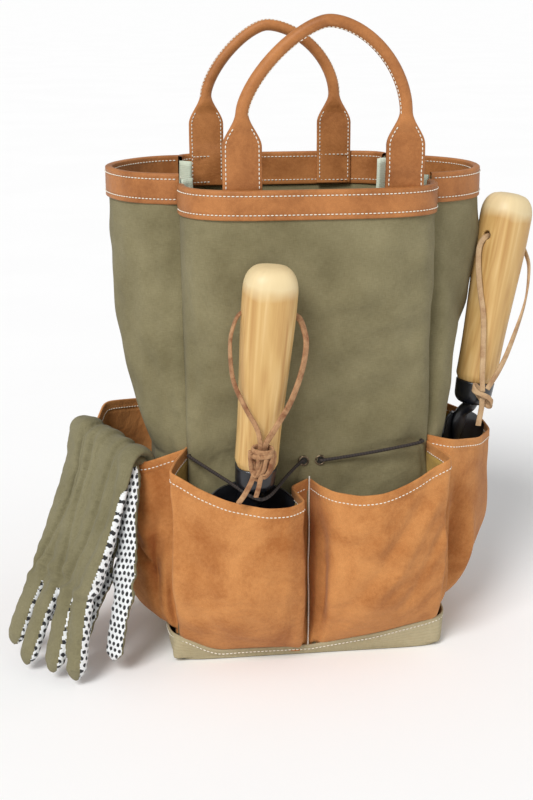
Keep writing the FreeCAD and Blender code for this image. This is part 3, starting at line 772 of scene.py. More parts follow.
def base_band(threads):
    """Tray of paler canvas, its soft lower edge rolling under, its upper edge turned in."""
    floor = [xyz(*base_outline(scale * 0.96), 0.4) for scale in (0.02, 0.3, 0.6, 0.85)]
    rows = []
    for a in np.linspace(0, 1, 7) * math.pi / 2:
        rows.append(xyz(*base_outline(0.95 + 0.03 * math.sin(a)), 2.0 * (1 - math.cos(a)) + 0.2))
    for k in np.linspace(0.04, 1, 16):
        squareness = mix(FLOOR_SQUARENESS, EDGE_SQUARENESS, k)
        x, y = base_outline(mix(0.98, 1.018, k**0.7), squareness=squareness)
        corner = bump(np.abs(x), 91.0, 6.0) * bump(np.abs(y), 72.0, 6.0)
        pinch = np.where((x < 0) & (y < 0), 5.0, 2.0) * corner
        out = 1 + (0.7 * lumps(x, y, 40.0, 91) + pinch) * (1 - k) / 90
        rows.append(xyz(x * out, y * out, mix(2.2, base_top(x), k)))
    wall_rows, _ = turned_over(np.array(rows), 1.5, 0)
    grid = np.concatenate([np.array(floor), wall_rows])
    tray = Mesh().grid(grid, round_u=True)
    tray.build("base_canvas_tray", [BASE_CLOTH], "base_canvas", ["base_panel"])
    x, y = base_outline(1.016, 900, EDGE_SQUARENESS)
    path = xyz(x, y, base_top(x) - 2.2)
    path = np.concatenate([path, path[:1]])
    along = np.gradient(path, axis=0)
    threads.stitches(path, xyz(along[:, 1], -along[:, 0], 0.0))


def base_board():
    node = "base_board"
    half = (high(node) - low(node)) / 2
    bottom, top = low(node)[2], high(node)[2]
    x, y = superellipse(round_angles(96), half[0], half[1], 10.0)
    scales = (0.01, 0.98, 1.0, 1.0, 0.98, 0.5, 0.01)
    heights = (bottom, bottom, bottom + 0.5, top - 0.5, top, top, top)
    grid = np.array([xyz(x * scale, y * scale, z) for scale, z in zip(scales, heights)])
    Mesh().grid(grid, round_u=True).build("base_board_sheet", [BOARD], "board", [node])


# ---- pockets ----
def pocket_surface(foot, lip, fullness, dents, radius, seed):
    """Outside of a pouch as a grid, and how far down from the lip each of its rows is."""
    cols, rows = 190, 110
    lip_line = rounded(lip, cols, radius, LIP_EASE)
    foot = np.array(foot)
    share = np.linspace(0, 1, cols)
    foot_x, foot_y = (blurred(np.interp(share, foot[:, 2], foot[:, i]), 2.0) for i in (0, 1))
    foot_line = xyz(foot_x, foot_y, base_top(foot_x) - SEWN_IN)
    t = np.linspace(0, 1, rows)[:, None, None]
    u = np.linspace(0, 1, cols)[None, :]
    height = mix(foot_line[None, :, 2:], lip_line[None, :, 2:], t)
    seam = smooth((height - UPTURN_Z) / (WAIST_Z - UPTURN_Z))
    belly = (1 - (1 - np.maximum(t - 0.03, 0) / 0.97) ** 3) ** fullness
    from_end = np.minimum(u, 1 - u)
    out = mix(seam, belly, smooth(from_end / 0.05)[..., None])
    grid = np.concatenate([mix(foot_line[None, :, :2], lip_line[None, :, :2], out), height], axis=-1)
    t = t[..., 0]
    push = 1.1 * lumps(u * 110, t * 110, 60.0, seed) + 0.35 * lumps(u * 110, t * 110, 18.0, seed + 1)
    push = push * smooth(from_end / 0.12) * smooth(t / 0.12)
    for at_u, at_t, wide_u, wide_t, slant, depth in dents:
        push = push + depth * bump(u + slant * (t - at_t), at_u, wide_u) * bump(t, at_t, wide_t)
    drop = (1 - t) * lengths(grid[:, cols // 2])[-1]
    hem = 0.55 * (1 - smooth((drop - HEM + 0.6) / 1.2)) - 0.35 * bump(drop, HEM - HEM_SEAM, 0.6)
    return grid + normals(grid) * (push + hem)[..., None], drop[:, 0]


def pocket(name, foot, lip, fullness, dents, threads, radius, seed, facing=HEM):
    """A leather pouch between two plan lines: its foot, sewn in behind the base's edge, and its
    open lip. Both run left to right from outside. A lip point is (x, y, z); a foot point is (x, y)
    and the fraction of the lip's length above it. facing is how deep the smooth leather reaches
    inside, above the suede."""
    grid, drop = pocket_surface(foot, lip, fullness, dents, radius, seed)
    rows, cols = grid.shape[:2]
    hem_rows = int(rows * facing / lengths(grid[:, cols // 2])[-1])
    shell, suede_from = turned_over(grid, LEATHER, hem_rows)
    slots = np.where(np.arange(len(shell) - 1) >= suede_from, 1, 0)
    mesh = Mesh().grid(shell, slot=slots)
    mesh.build(name + "_pouch", [POCKET_LEATHER, SUEDE], "pocket_leather", [name + "_pocket"])
    row = int(np.argmin(np.abs(drop - (HEM - HEM_SEAM))))
    line, away = grid[row, 3:-3], normals(grid)[row, 3:-3]
    threads.stitches(line, away)
    threads.stitches(line - away * LEATHER, -away)


def pockets():
    """Each pouch: its foot and lip lines, its fullness, its dents as (place along, place up, their
    two widths, slant, depth), the sharpness of its corners and its random seed."""
    threads = Mesh()
    foot = [(-89, -66, 0), (-90, -71.5, 0.2), (-87, -74.4, 0.25), (-22, -74.4, 0.72), (-8, -74.2, 0.8),
            (-6, -73.8, 0.91), (-2.4, -73.4, 1)]
    lip = [(-82.8, -62, 150), (-97, -99, 145.5), (-80, -107, 136), (-60, -114, 127.5), (-36, -119, 123.5),
           (-20, -117, 123), (-9.5, -109, 124.3), (-15, -86, 127), (-2.4, -78.2, 129.5)]
    dents = [(0.37, 0.45, 0.07, 0.35, 0.15, -2.6), (0.5, 0.35, 0.10, 0.3, -0.2, 1.8),
             (0.12, 0.12, 0.03, 0.2, 0.0, -3.0), (0.62, 0.75, 0.05, 0.2, 0.25, -1.6),
             (0.8, 0.3, 0.04, 0.35, 0.0, 2.4)]
    pocket("front_left", foot, lip, 0.75, dents, threads, 3.4, 11)

    foot = [(-1.6, -73.4, 0), (2, -73.8, 0.08), (8, -74.4, 0.18), (86, -74.4, 0.75), (90, -71.5, 0.8),
            (89, -66, 1)]
    lip = [(-1.6, -78.2, 129.5), (3, -92, 129.3), (12, -104, 128), (26, -112, 126.6), (42, -114, 127.5),
           (60, -110, 132.5), (78, -103, 140), (91, -97, 146), (82.4, -63, 148)]
    dents = [(0.46, 0.62, 0.05, 0.4, -0.6, -1.9), (0.57, 0.6, 0.05, 0.4, -0.6, 1.6),
             (0.68, 0.5, 0.04, 0.35, -0.5, -1.4), (0.10, 0.45, 0.05, 0.32, 0.0, -7.0),
             (0.19, 0.5, 0.05, 0.32, 0.0, 1.8)]
    pocket("front_right", foot, lip, 0.75, dents, threads, 3.0, 21)

    foot = [(89, -65.6, 0), (92, -58, 0.1), (93, -20, 0.35), (93, 30, 0.62), (92, 58, 0.9), (89, 65.6, 1)]
    lip = [(82.4, -62, 152), (100, -62, 147), (124, -43, 142), (141, -12, 139), (141, 18, 140),
           (119, 50, 144), (82.4, 62, 150)]
    dents = [(0.16, 0.40, 0.035, 0.24, 0.10, -12.0), (0.235, 0.36, 0.03, 0.22, 0.10, 4.0),
             (0.5, 0.5, 0.2, 0.2, 0.0, 3.0), (0.8, 0.3, 0.06, 0.3, -0.1, -5.0)]
    pocket("right", foot, lip, 0.40, dents, threads, 7.0, 31)

    foot = [(-89, 65.6, 0), (-92, 58, 0.1), (-93, 25, 0.36), (-93, -25, 0.62), (-92, -58, 0.88),
            (-89, -65.6, 1)]
    lip = [(-82.4, 62, 150), (-108, 58, 153), (-134, 34, 158), (-142, 2, 152), (-131, -38, 142),
           (-113, -61, 139), (-82.4, -62, 149)]
    dents = [(0.87, 0.40, 0.03, 0.22, -0.1, -9.0), (0.80, 0.46, 0.022, 0.10, 0.5, -7.0),
             (0.83, 0.60, 0.02, 0.14, 0.3, 3.0), (0.93, 0.15, 0.02, 0.2, 0.0, -4.0),
             (0.2, 0.3, 0.06, 0.3, 0.1, -5.0)]
    pocket("left", foot, lip, 0.42, dents, threads, 7.0, 41, 90.0)

    foot = [(89, 66, 0), (90, 71.5, 0.16), (87, 74.4, 0.21), (20, 74.4, 0.78), (8, 74.2, 0.83),
            (6, 73.8, 0.92), (0.8, 73.4, 1)]
    lip = [(82.4, 62, 149), (92, 86, 145), (62, 98, 133), (34, 100, 128), (10, 97, 129), (9, 84, 131),
           (0.8, 76.4, 132)]
    pocket("rear_right", foot, lip, 0.75, [(0.3, 0.45, 0.10, 0.35, 0.15, -2.0)], threads, 2.8, 51)
    foot = [(-x, y, 1 - share) for x, y, share in reversed(foot)]
    lip = [(-x, y, z) for x, y, z in reversed(lip)]
    pocket("rear_left", foot, lip, 0.75, [(0.6, 0.5, 0.08, 0.35, -0.2, -2.0)], threads, 2.8, 61)
    threads.sew("pocket_stitches")


def pocket_piping(node, sign):
    """Thin corded edge between two pockets, slightly wavy."""
    foot, top = 7.0, 132.0
    z = np.linspace(foot, top, 90)
    y = sign * mix(75.0, 79.4 if sign < 0 else 77.4, (z - foot) / (top - foot))
    x = (-2.0 if sign < 0 else 0.0) + 0.35 * lumps(z, 0 * z, 50.0, 71 + sign)
    mesh = Mesh().tube(xyz(x, y, z), 0.5, 0.9, np.array([1.0, 0, 0]), 2.5, 10)
    mesh.build(node + "_cord", [PIPING], "thread_piping", [node])


# ---- cord and eyelets ----
EYELET_X = 5.5  # from the bag's middle to each of the two middle eyelets
# section of an eyelet from its hole outwards: radius and height above the canvas
EYELET_SECTION = (
    (0.05, 0.1), (2.2, 0.1), (2.3, 0.3), (2.6, 0.7), (3.0, 0.8), (3.5, 0.6), (3.7, 0.2), (3.7, -1.0),
)


def eyelet_depth(sign):
    """Where the canvas surface lies at the two middle eyelets."""
    side = "front" if sign < 0 else "rear"
    half = level(SEAM_X, np.array(WAIST_Z))
    s = np.array(2 / math.pi * math.asin(EYELET_X / half))
    return float(abs(wall(side, s, np.array(WAIST_Z))[1]))


def eyelets(node, sign):
    """Small flanged rings with a rolled edge round a hole closed by a flat disc of painted shadow."""
    y = sign * (eyelet_depth(sign) + 0.25)
    mesh = Mesh()
    a = round_angles(28)
    # the first step of the section spans the hole and gets the painted shadow; the rest of the section is
    # metal
    slots = [1] + [0] * (len(EYELET_SECTION) - 2)
    for x in (-EYELET_X, EYELET_X):
        rows = [xyz(x + r * np.cos(a), y + sign * h, WAIST_Z + r * np.sin(a)) for r, h in EYELET_SECTION]
        mesh.grid(np.array(rows), slot=slots, round_u=True, flip=sign > 0)
    mesh.build(node + "_rings", [BRONZE, PAINTED_HOLE_SHADOW], "eyelet_metal", [node])


def drawcord():
    """The elastic cord: outside in front and behind, inside at the sides. In front it is drawn
    down to the trowel's collar; it runs through the two eyelets."""
    z, hole = WAIST_Z, EYELET_X
    neck = Placed("front")([(3.0, -13.4, -1.0)])[0]
    skin, rear = -eyelet_depth(-1), eyelet_depth(1)
    left, right = np.array([-80.0, -76.0, z + 4]), np.array([71.0, -79.5, z + 9])
    rows = [
        (-68, -50, z), (-76, -62, z + 2), (-81, -70, z + 4), left,
        mix(left, neck, 0.5) + (0, -2, -1), neck - (5, 0.2, -0.8), neck + (5, -0.2, 0.8),
        mix(neck, np.array([-hole, skin, z]), 0.6) + (0, -1, 0),
        (-hole - 3, skin - 1.8, z - 1), (-hole, skin - 0.2, z), (-hole + 1, skin + 6, z),
        (hole - 1, skin + 6, z),
        (hole, skin - 0.2, z), (hole + 3, skin - 1.8, z + 0.4), (40, skin - 2.4, z + 4.5), right,
        (77, -70, z + 8), (72, -60, z + 5), (68, -50, z),
        (67, 0, z - 3), (68, 50, z), (75, 62, z), (79, 70, z), (74, 78, z), (40, rear + 2.2, z - 1),
        (hole + 4, rear + 1.8, z), (hole, rear + 0.2, z), (hole - 1, rear - 6, z), (1 - hole, rear - 6, z),
        (-hole, rear + 0.2, z), (-hole - 4, rear + 1.8, z), (-40, rear + 2.2, z - 1), (-74, 78, z),
        (-79, 70, z), (-75, 62, z), (-68, 50, z), (-67, 0, z - 3), (-68, -50, z),
    ]
    mesh = Mesh().tube(curve(np.array([np.array(r, float) for r in rows]), 800), 1.15, sides=12)
    obj = mesh.build("drawcord_elastic", [CORD], "elastic_cord", ["drawcord"])
    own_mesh(obj)


# ---- handles ----
def strap_line(side, left, right, top_x, foot_z, top_z, depth):
    """Middle of a handle's strap from foot to foot, evenly spaced, and how flat the strap is at each
    point: 1 in the sewn tabs, 0 in the roll. The feet bend in to the rim band's inner face."""
    neck_z = HINGE_Z + NECK_H
    leg = np.linspace(foot_z, neck_z, 60)
    leg_flat = 1 - smooth((leg - HINGE_Z - TAB_H) / (NECK_H - TAB_H))
    rows = [(left, depth, z, flat) for z, flat in zip(leg[:-1], leg_flat[:-1])]
    for a in np.linspace(0, math.pi, 130):
        foot_x, power = (left, 1.45) if a < math.pi / 2 else (right, 1.8)
        across, up = abs(math.cos(a)) ** (2 / power), abs(math.sin(a)) ** (2 / power)
        rows.append((mix(top_x, foot_x, across), depth, neck_z + (top_z - neck_z) * up, 0.0))
    rows += [(right, depth, z, flat) for z, flat in zip(leg[-2::-1], leg_flat[-2::-1])]
    even = resample(np.array(rows), 320)
    path, flat = even[:, :3], np.clip(even[:, 3], 0, 1)
    sewn = smooth((HINGE_Z + 3 - path[:, 2]) / 8.0)
    path[:, 1] = mix(path[:, 1], band_face(side, path[:, 0]), sewn)
    return np.stack([blurred(path[:, i], 4.0) for i in range(3)], axis=1), flat


def strap_threads(side, path, flat, wide, half_w, half_t, feet_x, foot_z):
    """Stitches along both edges of the tabs, along the roll's seam and across the sewn feet."""
    threads = Mesh()
    depth = np.array([0.0, 1.0, 0.0])
    for edge in (-1, 1):
        for face in (-1, 1):
            for half in (slice(4, 62), slice(-62, -4)):
                keep = flat[half] > 0.12
                line = path[half][keep] + (wide[half] * (edge * (half_w[half] - 2.0))[:, None])[keep]
                line = line + depth * (face * (half_t[half] + 0.02))[keep][:, None]
                threads.stitches(line, depth * face)
    roll = flat < 0.04
    facing = unit(wide * (0.85 if side == "front" else -0.9) - depth * 0.5)
    threads.stitches(path[roll] + facing[roll] * (ROLL_R + 0.1), facing[roll])
    inward = depth if side == "front" else -depth
    for foot_x in feet_x:
        x = np.linspace(foot_x - STRAP_HALF + 2.0, foot_x + STRAP_HALF - 2.0, 12)
        y = band_face(side, x) + inward[1] * (STRAP_THICK / 2 + 0.05)
        for z in (RIM_TOP[side] - 2.0, foot_z + 2.4):
            threads.stitches(xyz(x, y, z), inward)
    return threads


def handle(side, top_x):
    """One leather strap: flat ends sewn inside the rim band, rolled into a tube over the arch."""
    feet, strap = side + "_handle_feet", side + "_handle_strap"
    depth = (low(strap)[1] + high(strap)[1]) / 2
    feet_x = (low(strap)[0] + STRAP_HALF, high(strap)[0] - STRAP_HALF)
    foot_z = low(feet)[2] - 1.0
    path, flat = strap_line(side, *feet_x, top_x, foot_z, high(strap)[2] - ROLL_R, depth)
    half_w = mix(ROLL_R, STRAP_HALF, flat)
    half_t = mix(ROLL_R, STRAP_THICK / 2, smooth(flat * 1.3))
    wide = np.cross(np.array([0.0, 1.0, 0.0]), unit(np.gradient(path, axis=0)))
    mesh = Mesh().tube(path, half_w, half_t, wide, mix(2.0, 6.0, flat), 40)
    nodes = [feet, strap, side + "_handle_core"]
    leather_strap = mesh.build(side + "_handle_leather", [RIM_LEATHER], "rim_leather", nodes, body=None)
    threads = strap_threads(side, path, flat, wide, half_w, half_t, feet_x, foot_z)
    stitched = threads.sew(side + "_handle_stitches", None)
    start, end = ((0, depth * MM, (HINGE_Z + rise) * MM) for rise in (-3.0, 5.0))
    for piece in (leather_strap, stitched):
        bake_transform(piece)
        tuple(start)
        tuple(end)


def band_face(side, x):
    """Depth of the rim band's inner face at x."""
    s = np.linspace(-1, 1, 400)
    points = wall(side, s, RIM_TOP[side] - 6 + 0 * s, -CANVAS - SKIN - STRAP_THICK / 2 - 0.3, folds=False)
    order = np.argsort(points[:, 0])
    return np.interp(x, points[order, 0], points[order, 1])


# ---- trowels ----
FERRULE_L = 16.0
GRIP_L = 134.0
HOLE_Z = FERRULE_L + GRIP_L - 30.0  # height of the cross hole above the foot of the ferrule
HOLE_R = 3.2
GRIP_HALF = (17.3, 16.4)
BLADE_R = 55.0  # radius of the blade's trough
BLADE_L = 86.0
BLADE_THICK = 1.7
# turn of the blade against the cross hole, height and set-back of the neck, width of the blade
TOOLS = {"front": (0.0, 2.5, 14.0, 60.0), "side": (10.0, 9.0, 9.0, 57.0)}


class Placed:
    """A tool's own frame: z up its handle, x along its cross hole, -y the side its lace hangs on;
    the origin is at the foot of the ferrule."""

    def __init__(self, tool, turn=0.0):
        swing = JOINTS[tool + "_lanyard_swing"]
        z = unit(np.array(JOINTS[tool + "_trowel_lift"]["axis"]))
        x = -unit(np.array(swing["axis"]))
        y = np.cross(z, x)
        a = math.radians(turn)
        x, y = x * math.cos(a) + y * math.sin(a), y * math.cos(a) - x * math.sin(a)
        self.axes = np.stack([x, y, z])
        self.foot = np.array(swing["pos_m"]) / MM - z * HOLE_Z

    def __call__(self, points):
        return np.asarray(points, float) @ self.axes + self.foot


def grip(tool):
    """Ash handle: swells towards the top, slightly flat in front, sanded end, cross hole."""
    place = Placed(tool)
    a = round_angles(72)
    dome, flat_end, squareness, top = 17.0, 0.36, 2.5, FERRULE_L + GRIP_L
    rows = []
    rounding = dome * np.cos(np.linspace(0.05, math.pi / 2, 24))
    for left in np.concatenate([np.linspace(GRIP_L, dome, 80), rounding]):
        t = 1 - left / GRIP_L
        size = mix(0.72, 0.81, smooth(t / 0.035)) + 0.19 * smooth((t - 0.1) / 0.75)
        if left < dome:
            size = size * mix(flat_end, 1.0, (1 - (1 - left / dome) ** 2.5) ** 0.5)
        x, y = superellipse(a, GRIP_HALF[0] * size, GRIP_HALF[1] * size, squareness)
        rows.append(xyz(x, y, top - left))
    rows += [xyz(x * k, y * k, top + 0.3 * (1 - k)) for k in (0.7, 0.3, 0.02)]
    rows.insert(0, rows[0] * (0.3, 0.3, 1.0))
    grid = np.array(rows)
    uv = np.stack(np.broadcast_arrays((a * GRIP_HALF[0])[None, :], grid[:, :1, 2]), axis=-1)
    mesh = Mesh().grid(place(grid), uv=uv, round_u=True)
    obj = mesh.build(tool + "_grip", [WOOD], "grip_wood", [tool + "_trowel_grip"], tool + "_trowel")
    drill(obj, place)


def drill(obj, place):
    """Bores the cross hole for the lace, with the same wood inside."""
    path = place([(x, 0, HOLE_Z) for x in (-30, -15, 0, 15, 30)])
    cutter = Mesh().tube(path, HOLE_R, sides=24).build("cutter", [WOOD], None, body=None)
    cut = obj.modifiers.new("hole", "BOOLEAN")
    cut.object = cutter
    cut.operation = "DIFFERENCE"
    cut.solver = "EXACT"
    settle(obj)
    bpy.data.objects.remove(cutter)


def settle(obj):
    """Replaces an object's mesh by the result of its modifiers."""
    bpy.context.view_layer.update()
    result = bpy.data.meshes.new_from_object(obj.evaluated_get(bpy.context.evaluated_depsgraph_get()))
    obj.modifiers.clear()
    obj.data = result
    result.shade_smooth()


def ferrule(tool):
    """Black collar, rounded into the neck."""
    place = Placed(tool)
    t = np.linspace(0, 1, 26)
    size = np.sqrt(np.maximum(0.0, 1 - (1 - np.minimum(t / 0.5, 1.0)) ** 2.6))
    wide = mix(5.0, mix(12.6, 13.6, t), size)
    wide = np.append(wide, wide[-1] * 0.93)
    z = np.append(-1.0 + t * (FERRULE_L + 0.9), FERRULE_L + 0.5)
    path = place(xyz(0.0, 0.0, z))
    mesh = Mesh().tube(path, wide, wide * 0.95, place.axes[0], 2.3, 48)
    mesh.build(tool + "_ferrule", [STEEL], "tool_steel", [tool + "_trowel_ferrule"], tool + "_trowel")


def blade(tool):
    """Swan neck and trough-shaped blade."""
    turn, drop, spine, width = TOOLS[tool]
    place = Placed(tool, turn)
    mesh = Mesh()
    bend = curve([(0, 0, 1), (0, spine * 0.12, -drop * 0.3), (0, spine * 0.72, -drop - 1),
                  (0, spine - 1.8, -drop - 16), (0, spine - 1.2, -drop - 32)], 60)
    t = np.linspace(0, 1, 60)
    flare = 5.0 * bump(t, 0.45, 0.2)
    mesh.tube(place(bend), mix(4.8, 3.6, t) + flare, mix(4.8, 1.6, smooth(t * 1.4)), place.axes[0], 2.2, 20)
    v = np.linspace(0, 1, 90)[:, None] ** 1.3
    u = np.linspace(-1, 1, 61)[None, :]
    shoulder = np.minimum(1.0, (v / 0.13) ** 0.28)
    tip = np.maximum(1 - np.maximum((v - 0.45) / 0.55, 0) ** 2.3, 0) ** 0.62
    x = u * np.maximum(width / 2 * shoulder * tip, 0.6)
    y = spine - BLADE_R + np.sqrt(BLADE_R**2 - x**2)
    z = -drop - v * BLADE_L
    face = place(xyz(x, y, z)[::-1])
    back = face - normals(face) * BLADE_THICK
    mesh.grid(np.concatenate([face, back[::-1]]))
    mesh.grid(np.stack([face[:, 0], back[:, 0]]), flip=True)
    mesh.grid(np.stack([face[:, -1], back[:, -1]]))
    mesh.grid(np.stack([face[0], back[0]]))
    mesh.build(tool + "_blade", [STEEL], "tool_steel", [tool + "_trowel_blade"], tool + "_trowel")


def lace_knot(mesh, place, centre):
    """The lace wound round itself twice, and its loops bunched below."""
    centre = np.array(centre)
    a = np.linspace(0, 2 * math.pi, 40)
    for i, dz in enumerate((2.6, -0.6)):
        ring = xyz(6.6 * np.cos(a), 3.9 * np.sin(a), dz + 0.8 * np.sin(a + i))
        mesh.tube(place(centre + ring), 1.7, 0.8, place.axes[2], 3.0, 10)
    a = np.linspace(-0.5, math.pi + 0.5, 40)
    facing = unit(place.axes[1] * 0.4 + place.axes[0])
    # each loop's shift sideways, half width, half height and lift
    loops = ((-1.6, 6.0, 9.6, -0.9), (1.4, 6.0, 9.0, -0.2), (-3.4, 3.4, 7.8, -1.9), (2.6, 3.6, 7.2, -1.6),
             (-0.2, 2.6, 6.4, -2.6))
    for i, (shift, half_x, half_z, lift) in enumerate(loops):
        sway = np.sin(a * 2 + i)
        x = shift + half_x * np.cos(a) * (1 + 0.15 * sway)
        loop = xyz(x, lift + 0.9 * sway, -3.0 - half_z * np.maximum(np.sin(a), -0.3) * 1.5)
        mesh.tube(place(centre + loop), 1.5, 0.75, facing, 3.0, 10)


def lace_strand(mesh, place, points, half_w, facing):
    """A flat strand of lace along its points."""
    path = curve(points, 120)
    t = np.linspace(0, 1, len(path))[:, None]
    look = unit(mix(np.array(facing[0], float), np.array(facing[1], float), smooth(t)))
    path, look = place(path), look @ place.axes
    along = unit(np.gradient(path, axis=0))
    mesh.tube(path, half_w, 0.8, np.cross(look, along), 4.0, 12)


# Strands of each lace in its tool's frame, from the cross hole down to the knot, then the tails: the
# points, half the width, and the way the flat side looks at the two ends.
FRONT_LACE = (
    ([(-9, 0, HOLE_Z), (-17.5, -0.5, HOLE_Z - 1), (-21.5, -2.5, HOLE_Z - 8), (-23.4, -6, 100),
      (-20.6, -12, 79), (-12, -17.0, 62), (-4.4, -19.2, 50), (-1.4, -20.2, 40), (-1.4, -20.4, 34)],
     1.6, ((-1, -0.3, 0), (-0.5, -1, 0))),
    ([(9, 0, HOLE_Z), (18.5, -0.5, HOLE_Z - 2), (23.0, -2.5, HOLE_Z - 10), (24.6, -6, 101), (22.6, -10.5, 86),
      (16.5, -15.5, 67), (7.7, -19.0, 50), (2.4, -20.2, 40), (1.6, -20.4, 34)],
     2.0, ((0.6, -1, 0), (0.3, -1, 0))),
    ([(-3.5, -22, 22), (-5.5, -22.6, 14), (-9.0, -22, 5), (-12.5, -21.4, -1.5)],
     1.7, ((0, -1, 0), (0, -1, 0))),
    ([(0.5, -22, 20), (-0.2, -22.6, 12), (-1.6, -22, 3.5)],
     1.6, ((0.3, -1, 0), (0.3, -1, 0))),
)
SIDE_LACE = (
    ([(-9, 0, HOLE_Z), (-17.5, 0.5, HOLE_Z - 1.5), (-19.6, 2.4, HOLE_Z - 9), (-19.4, 0.4, 98),
      (-18.2, -4.0, 82), (-15.6, -9.0, 64), (-13.4, -12.6, 40), (-11.6, -14.2, 24), (-9.6, -15.6, 12)],
     1.9, ((-0.9, -0.6, 0), (-0.6, -0.9, 0))),
    ([(9, 0, HOLE_Z), (17.8, -1.0, HOLE_Z - 2), (21.4, -6.4, 110), (21.0, -12.4, 99), (15.4, -18.4, 76),
      (5.6, -20.2, 46), (-0.4, -19.4, 29), (-6.6, -16.8, 14)],
     1.9, ((1, -0.4, 0), (-0.4, -1, 0))),
    ([(-9.0, -15.6, 8), (-7.2, -15.4, 1), (-6.2, -14.6, -13)],
     2.0, ((-0.6, -0.9, 0), (-0.6, -0.9, 0))),
)


def lace_winding(mesh, place, centre):
    """Two slanting turns of the lace round its strands."""
    a = np.linspace(0, 2 * math.pi, 48)
    view = unit(np.array([-0.68, -0.73, 0.0]))
    right = np.array([0.73, -0.68, 0.0])
    for i in range(2):
        ring = np.outer(7.4 * np.cos(a), right) + np.outer(3.4 * np.sin(a), view)
        ring[:, 2] += -5.0 * np.cos(a + 0.5 * i) + 1.5 * np.sin(2 * a) - 2.0 * i
        mesh.tube(place(centre + ring), 1.6, 0.8, place.axes[2], 3.0, 10)


def laces():
    """The front tool's lace ends in a full knot; the side tool's strands are only wound twice."""
    for tool, strands, hide in (("front", FRONT_LACE, LACE_LEATHER), ("side", SIDE_LACE, PALE_LACE)):
        place, mesh = Placed(tool), Mesh()
        for points, half_w, facing in strands:
            lace_strand(mesh, place, points, half_w, facing)
        if tool == "front":
            lace_knot(mesh, place, (0.4, -20.4, 33.0))
        else:
            lace_winding(mesh, place, np.array([-8.6, -15.4, 10.0]))
        mesh.build(tool + "_lace", [hide], "lace_leather", [tool + "_trowel_lanyard"], tool + "_lanyard")


# ---- gloves ----
# The gloves' own directions, from the middle of the pocket's lip: across them and outwards.
GLOVE_FOLD = np.array([-130.5, -39.5, 0.0])
GLOVE_OUT = np.array([-0.8, -0.6, 0.0])
GLOVE_ACROSS = np.array([0.6, -0.8, 0.0])
KNUCKLE_Z = 58.0
PALM_STRIP = 9.8  # half width of each finger's strip within the hand
# long grooves down the hand: place across, lean, depth and width
GROOVES = ((-24, 0.10, 3.4, 2.6), (-8, -0.09, 2.6, 2.2), (9, 0.13, 3.0, 2.4), (20, -0.05, 1.6, 3.0))
# distance outwards at the heights where each glove hangs down to its knuckles
UPPER_HANG = ((131.0, 13.0), (106.0, 23.0), (84.0, 33.0), (KNUCKLE_Z, 47.0))
UNDER_HANG = ((131.0, 4.5), (106.0, 11.0), (84.0, 15.0), (KNUCKLE_Z, 22.0))


def glove_place(across, out, z):
    return GLOVE_FOLD + GLOVE_ACROSS * across + GLOVE_OUT * out + np.array([0, 0, z])


def glove_line(hang, fold_drop, fold, knuckle, tip, tip_out, tip_z):
    """Middle of one finger's strip of cloth: from inside the pocket, over its lip, down to the tip."""
    top = 160.0 - 0.2 * (fold + 35.0) - fold_drop
    back = -fold_drop * 0.6
    points = [(fold, -13 - back, 125.0), (fold, -12 - back, top - 13), (fold, -8 - back * 0.5, top - 3.5),
              (fold, 0, top), (fold, 7 + back * 0.6, top - 4.5)]
    for i, (z, out) in enumerate(hang):
        points.append((mix(fold, knuckle, (i + 1) / len(hang)), out, z))
    last_out = hang[-1][1]
    for k in (0.35, 0.7, 1.0):
        points.append((mix(knuckle, tip, k), mix(last_out, tip_out, k**0.85), mix(KNUCKLE_Z, tip_z, k)))
    return curve([glove_place(*point) for point in points], 170)


def glove(name, hang, fold_drop, fingers, palm_faces_out, nodes):
    """Fingers run side by side into the hand; one remesh turns them into a single sewn skin."""
    mesh, paths = Mesh(), []
    for fold, knuckle, tip, tip_out, tip_z, width, thick in fingers:
        path = glove_line(hang, fold_drop, fold, knuckle, tip, tip_out, tip_z)
        t = np.linspace(0, 1, len(path))
        end = np.sqrt(np.clip((1 - t) / 0.04, 0.02, 1.0))
        half_w = mix(PALM_STRIP, width, smooth((t - 0.66) / 0.12)) * end
        half_t = mix(3.0, thick, smooth((t - 0.3) / 0.35)) * end
        mesh.tube(path, half_w, half_t, GLOVE_ACROSS, 2.3, 24)
        paths.append(path)
    obj = mesh.build(name, [GLOVE_BACK, GLOVE_PALM], None, body=None, weld=False)
    remesh = obj.modifiers.new("skin", "REMESH")
    remesh.mode = "VOXEL"
    remesh.voxel_size = 1.0 * MM
    relax = obj.modifiers.new("relax", "SMOOTH")
    relax.factor = 0.5
    relax.iterations = 3
    settle(obj)
    wrinkle(obj, 201 if palm_faces_out else 208)
    glove_skins(obj, np.array(paths), palm_faces_out)
    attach(obj, "gloves")
    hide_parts(*nodes)


def wrinkle(obj, seed):
    """Long soft folds down the hand, crumples at the knuckles and small creases in the fingers."""
    co = np.array([v.co for v in obj.data.vertices]) / MM
    normal = np.array([v.normal for v in obj.data.vertices])
    across = (co - GLOVE_FOLD) @ GLOVE_ACROSS
    z = co[:, 2]
    hand = smooth((z - KNUCKLE_Z + 6) / 20) * smooth((164 - z) / 20)
    folds = 0.7 * lumps(across, z * 0.2, 24.0, seed)
    for middle, lean, depth, wide in GROOVES:
        line = middle + lean * (z - 105) + 2.5 * np.sin(z * 0.06 + middle)
        ridge = 0.5 * depth * bump(across, line + 2.2 * wide, 1.4 * wide)
        folds = folds - depth * bump(across, line, wide) + ridge
    crumple = 2.6 * bump(z, KNUCKLE_Z + 6, 12.0) * lumps(across * 0.9, z * 1.3, 15.0, seed + 1)
    push = folds * hand + crumple + 0.35 * lumps(across, z * 1.4, 9.0, seed + 2)
    co = co + normal * push[:, None]
    obj.data.vertices.foreach_set("co", (co * MM).astype(np.float32).ravel())
    obj.data.update()


